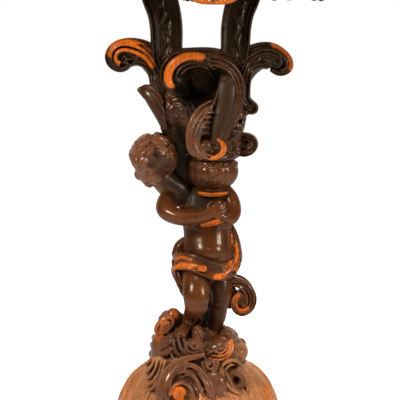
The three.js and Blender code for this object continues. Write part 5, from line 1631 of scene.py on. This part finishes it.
# Painted shade on the mound between the feet.
part("rock_mound", rock_mound(), ROCK, honey_and_shade=(
    ([(-16, 232), (-2, 222), (8, 206), (2, 190)], 24, -0.6),))
part("rock_left", rock_left(), ROCK, honey_and_shade=(
    ([(-84, 210), (-74, 222), (-62, 236)], 20, 0.55), ([(-58, 240), (-48, 250)], 14, 0.5)))
# Painted shade on the shell under the feet.
part("rock_front_shell", rock_front_shell(), ROCK,
     honey_and_shade=(([(-44, 198), (-20, 182), (4, 178)], 34, -0.4),))
# The list with a strength below 0 is painted shade beside the standing foot.
part("rock_right_rings", rock_right_rings(), ROCK, honey_and_shade=(
    ([(22, 169), (46, 168), (60, 176), (67, 189), (64, 202)], 10, 0.75),
    ([(42, 179), (54, 184), (58, 194)], 8, 0.5), ([(30, 196), (16, 200), (4, 192)], 16, -0.4)))
part("rock_right_knob", rock_right_knob(), TAN)
# The stump takes the uprights' darkest, least glossy finish as painted shade for the gap between the legs.
part("leg_stump", leg_stump(), UPRIGHT)
PUTTO_NODES = ["torso", "right_arm", "left_arm", "right_leg", "left_leg"]
# Painted shade on the chest under the head, the receding leg, the shin under the knee, the belly under the
# arm and under the cloth.
part("putto", putto_body(), FIGURE, nodes=PUTTO_NODES, honey_and_shade=(
    ([(-48, 490), (-22, 482), (8, 474)], 28, -0.92),
    ([(38, 308), (42, 284), (38, 256), (32, 226)], 22, -0.6), ([(-18, 246), (-22, 232)], 16, -0.5),
    ([(-16, 420), (-20, 392), (-20, 372)], 22, -0.4), ([(4, 334), (20, 318)], 16, -0.5)))
# Painted shade on the face, which is bent down, and on the neck under it.
part("head", head(), HAIR, honey_and_shade=(
    ([(-84, 558), (-72, 546), (-67, 532), (-60, 514), (-46, 500)], 29, -0.66),
    ([(-50, 514), (-36, 502), (-22, 490), (-8, 478)], 26, -0.92)))
# The last two lists are painted shade along the folds of the cloth.
part("waist_drapery", waist_drapery(), FIGURE, honey_and_shade=(
    ([(-54, 331), (-50, 342), (-36, 348), (-18, 349), (-3, 348)], 8, 1),
    ([(-52, 354), (-36, 364), (-18, 361)], 5, 0.7), ([(2, 346), (12, 346)], 8, 0.8),
    ([(34, 329), (50, 332), (66, 340), (76, 352)], 8, 1), ([(48, 344), (58, 350), (68, 358)], 5, 0.55),
    ([(-44, 336), (-20, 332), (0, 328), (24, 318)], 14, -0.6),
    ([(0, 364), (24, 350), (40, 344)], 12, -0.6)))
part("drapery_fall", drapery_fall(), FIGURE)
part("side_drapery", side_drapery(), FIGURE, honey_and_shade=(([(76, 410), (86, 386), (89, 362), (86, 340)], 8, 1),))
part("drapery_scroll", drapery_scroll(), FIGURE, honey_and_shade=(
    ([(78, 285), (73, 273), (77, 259), (87, 252), (97, 255)], 8, 1),))
part("sash", sash(), HONEY)
# The second list is painted shade on the urn's side beside the head.
part("urn", urn(), FIGURE, honey_and_shade=(
    ([(-2, 490), (14, 487), (29, 487), (45, 489), (56, 493)], 6, 1),
    ([(-18, 545), (-14, 520), (0, 505), (20, 500)], 26, -0.35)))
# Painted shade in the deep hollow and on the lobe behind the head.
part("trunk", trunk(), LEAF, honey_and_shade=(
    ([(-20, 716), (8, 724), (34, 712), (8, 700), (-14, 696), (-34, 688), (-14, 682), (6, 682)], 30, -1),
    ([(-34, 604), (-30, 570), (-30, 540), (-24, 510)], 30, -0.9)))
part("crown_scroll_left", crown_scroll_left(), DARK, honey_and_shade=(
    ([(-2, 760), (-22, 762), (-38, 755), (-52, 746), (-61, 733), (-64, 718), (-61, 706)], 13, 1),))
part("crown_scroll_right", crown_scroll_right(), LEAF)
# The first two lists are painted shade on the tongue and at the plume's foot; the last is honey.
part("front_leaf", front_leaf(), ROCK, honey_and_shade=(
    ([(52, 712), (50, 684), (46, 660), (40, 636), (32, 612)], 38, -0.85),
    ([(4, 612), (8, 590), (20, 584)], 18, -0.6),
    ([(36, 598), (44, 592), (45, 582), (40, 573), (30, 567), (19, 562)], 9, 1)))
# Painted shade down the leaf.
part("left_leaf", left_leaf(), LEAF, honey_and_shade=(([(-100, 676), (-86, 656), (-76, 632)], 14, -0.35),))
part("back_leaf", back_leaf(), LEAF)
part("small_scroll", small_scroll(), LEAF)
part("left_scroll", left_scroll(), honey_and_shade=(
    ([(-86, 744), (-96, 758), (-110, 770), (-126, 778), (-144, 783), (-160, 782), (-172, 775),
      (-180, 762)], 10, 1),
    ([(-97, 739), (-110, 754), (-126, 762), (-142, 767), (-154, 768), (-163, 763), (-168, 755),
      (-162, 744)], 7, 1)))
part("right_scroll", right_scroll(), honey_and_shade=(
    ([(142, 783), (158, 779), (170, 772), (178, 760), (180, 748), (178, 736)], 9, 0.8),))
part("left_upright", upright(-1), UPRIGHT)
part("right_upright", upright(1), UPRIGHT)
part("top_board", top_board())
part("apron_shell_1", apron_shell(APRON_TURN, hang=12), honey_and_shade=(
    ([(-22, 865), (-8, 859), (4, 856), (20, 854), (36, 856), (48, 859), (62, 865)], 16, 0.8),))
for k in range(1, APRON_PIECES):
    turn = APRON_TURN + k / APRON_PIECES * TAU
    name, make = ("apron_scroll", apron_scroll) if k % 2 else ("apron_shell", apron_shell)
    part(f"{name}_{k // 2 + 1}", make(turn))


# ---- Studio ----

CAMERA_DISTANCE = 2.5
CAMERA_RISE = math.radians(8)
CAMERA_TARGET = Vector((0, 0, 0.472))
CAMERA_ROLL = math.radians(0.6)
LENS = 112.5
PAPER_RADIUS = 6.0


def place_camera():
    """The photograph's view: level, a little from above, with a long lens."""
    camera = bpy.data.objects.new("camera", bpy.data.cameras.new("camera"))
    camera.data.lens = LENS
    camera.data.sensor_width = 36
    back = Vector((0, -math.cos(CAMERA_RISE), math.sin(CAMERA_RISE))) * CAMERA_DISTANCE
    looks = (-back).to_track_quat("-Z", "Y").to_matrix().to_4x4()
    roll = Matrix.Rotation(CAMERA_ROLL, 4, "Z")
    camera.matrix_world = Matrix.Translation(CAMERA_TARGET + back) @ looks @ roll
    bpy.context.scene.collection.objects.link(camera)
    bpy.context.scene.camera = camera


def place_lamp(name, spot, target, size, power):
    """A soft box that faces the stand."""
    lamp = bpy.data.objects.new(name, bpy.data.lights.new(name, "AREA"))
    lamp.data.shape = "RECTANGLE"
    lamp.data.size, lamp.data.size_y = size
    lamp.data.energy = power
    lamp.location = spot
    lamp.rotation_euler = (Vector(target) - Vector(spot)).to_track_quat("-Z", "Y").to_euler()
    bpy.context.scene.collection.objects.link(lamp)


def light_world():
    """White behind the stand for the camera, bright sides and a dimmer room in front."""
    world = bpy.data.worlds.new("studio")
    bpy.context.scene.world = world
    world.use_nodes = True
    tree = world.node_tree
    tree.nodes.clear()
    out = tree.nodes.new("ShaderNodeOutputWorld")
    rays = tree.nodes.new("ShaderNodeLightPath")
    way = node(tree, "ShaderNodeSeparateXYZ")
    tree.links.new(tree.nodes.new("ShaderNodeTexCoord").outputs["Generated"], way.inputs[0])
    room = ramped(tree, way.outputs["Y"], 0.1, 0.9, 0.03, 0.8)
    soft = node(tree, "ShaderNodeBackground", Color=(1, 1, 1, 1), Strength=0.22)
    gloss = node(tree, "ShaderNodeBackground", Color=(1.0, 0.84, 0.68, 1))
    tree.links.new(room, gloss.inputs["Strength"])
    white = node(tree, "ShaderNodeBackground", Color=(1, 1, 1, 1), Strength=1.0)
    shiny = tree.nodes.new("ShaderNodeMixShader")
    seen = tree.nodes.new("ShaderNodeMixShader")
    glossy = maths(tree, "MAXIMUM", rays.outputs["Is Glossy Ray"], rays.outputs["Is Transmission Ray"])
    tree.links.new(glossy, shiny.inputs[0])
    tree.links.new(soft.outputs[0], shiny.inputs[1])
    tree.links.new(gloss.outputs[0], shiny.inputs[2])
    tree.links.new(rays.outputs["Is Camera Ray"], seen.inputs[0])
    tree.links.new(shiny.outputs[0], seen.inputs[1])
    tree.links.new(white.outputs[0], seen.inputs[2])
    tree.links.new(seen.outputs[0], out.inputs["Surface"])


def lay_floor():
    """White paper that shows white to the camera and keeps a faint shadow of the stand."""
    bm = bmesh.new()
    bmesh.ops.create_circle(bm, cap_ends=True, segments=96, radius=PAPER_RADIUS)
    mesh = bpy.data.meshes.new("paper")
    bm.to_mesh(mesh)
    bm.free()
    paper = bpy.data.objects.new("paper", mesh)
    bpy.context.scene.collection.objects.link(paper)
    material = bpy.data.materials.new("paper")
    material.use_nodes = True
    tree = material.node_tree
    tree.nodes.clear()
    out = tree.nodes.new("ShaderNodeOutputMaterial")
    matt = node(tree, "ShaderNodeBsdfDiffuse", Color=(0.86, 0.86, 0.86, 1))
    glow = node(tree, "ShaderNodeEmission", Color=(1, 1, 1, 1), Strength=0.88)
    rays = tree.nodes.new("ShaderNodeLightPath")
    both = tree.nodes.new("ShaderNodeAddShader")
    mix = tree.nodes.new("ShaderNodeMixShader")
    tree.links.new(matt.outputs[0], both.inputs[0])
    tree.links.new(glow.outputs[0], both.inputs[1])
    tree.links.new(rays.outputs["Is Camera Ray"], mix.inputs[0])
    tree.links.new(matt.outputs[0], mix.inputs[1])
    tree.links.new(both.outputs[0], mix.inputs[2])
    tree.links.new(mix.outputs[0], out.inputs["Surface"])
    mesh.materials.append(material)


bpy.context.scene.view_settings.view_transform = "Standard"
place_camera()
light_world()
lay_floor()
place_lamp("left_box", (-1.5, -1.6, 1.7), (0, 0, 0.5), (0.6, 0.6), 36)
place_lamp("right_box", (1.7, -1.1, 1.1), (0, 0, 0.5), (0.5, 0.6), 20)
place_lamp("top_box", (0.1, -0.5, 2.3), (0, 0, 0.5), (1.0, 0.8), 18)
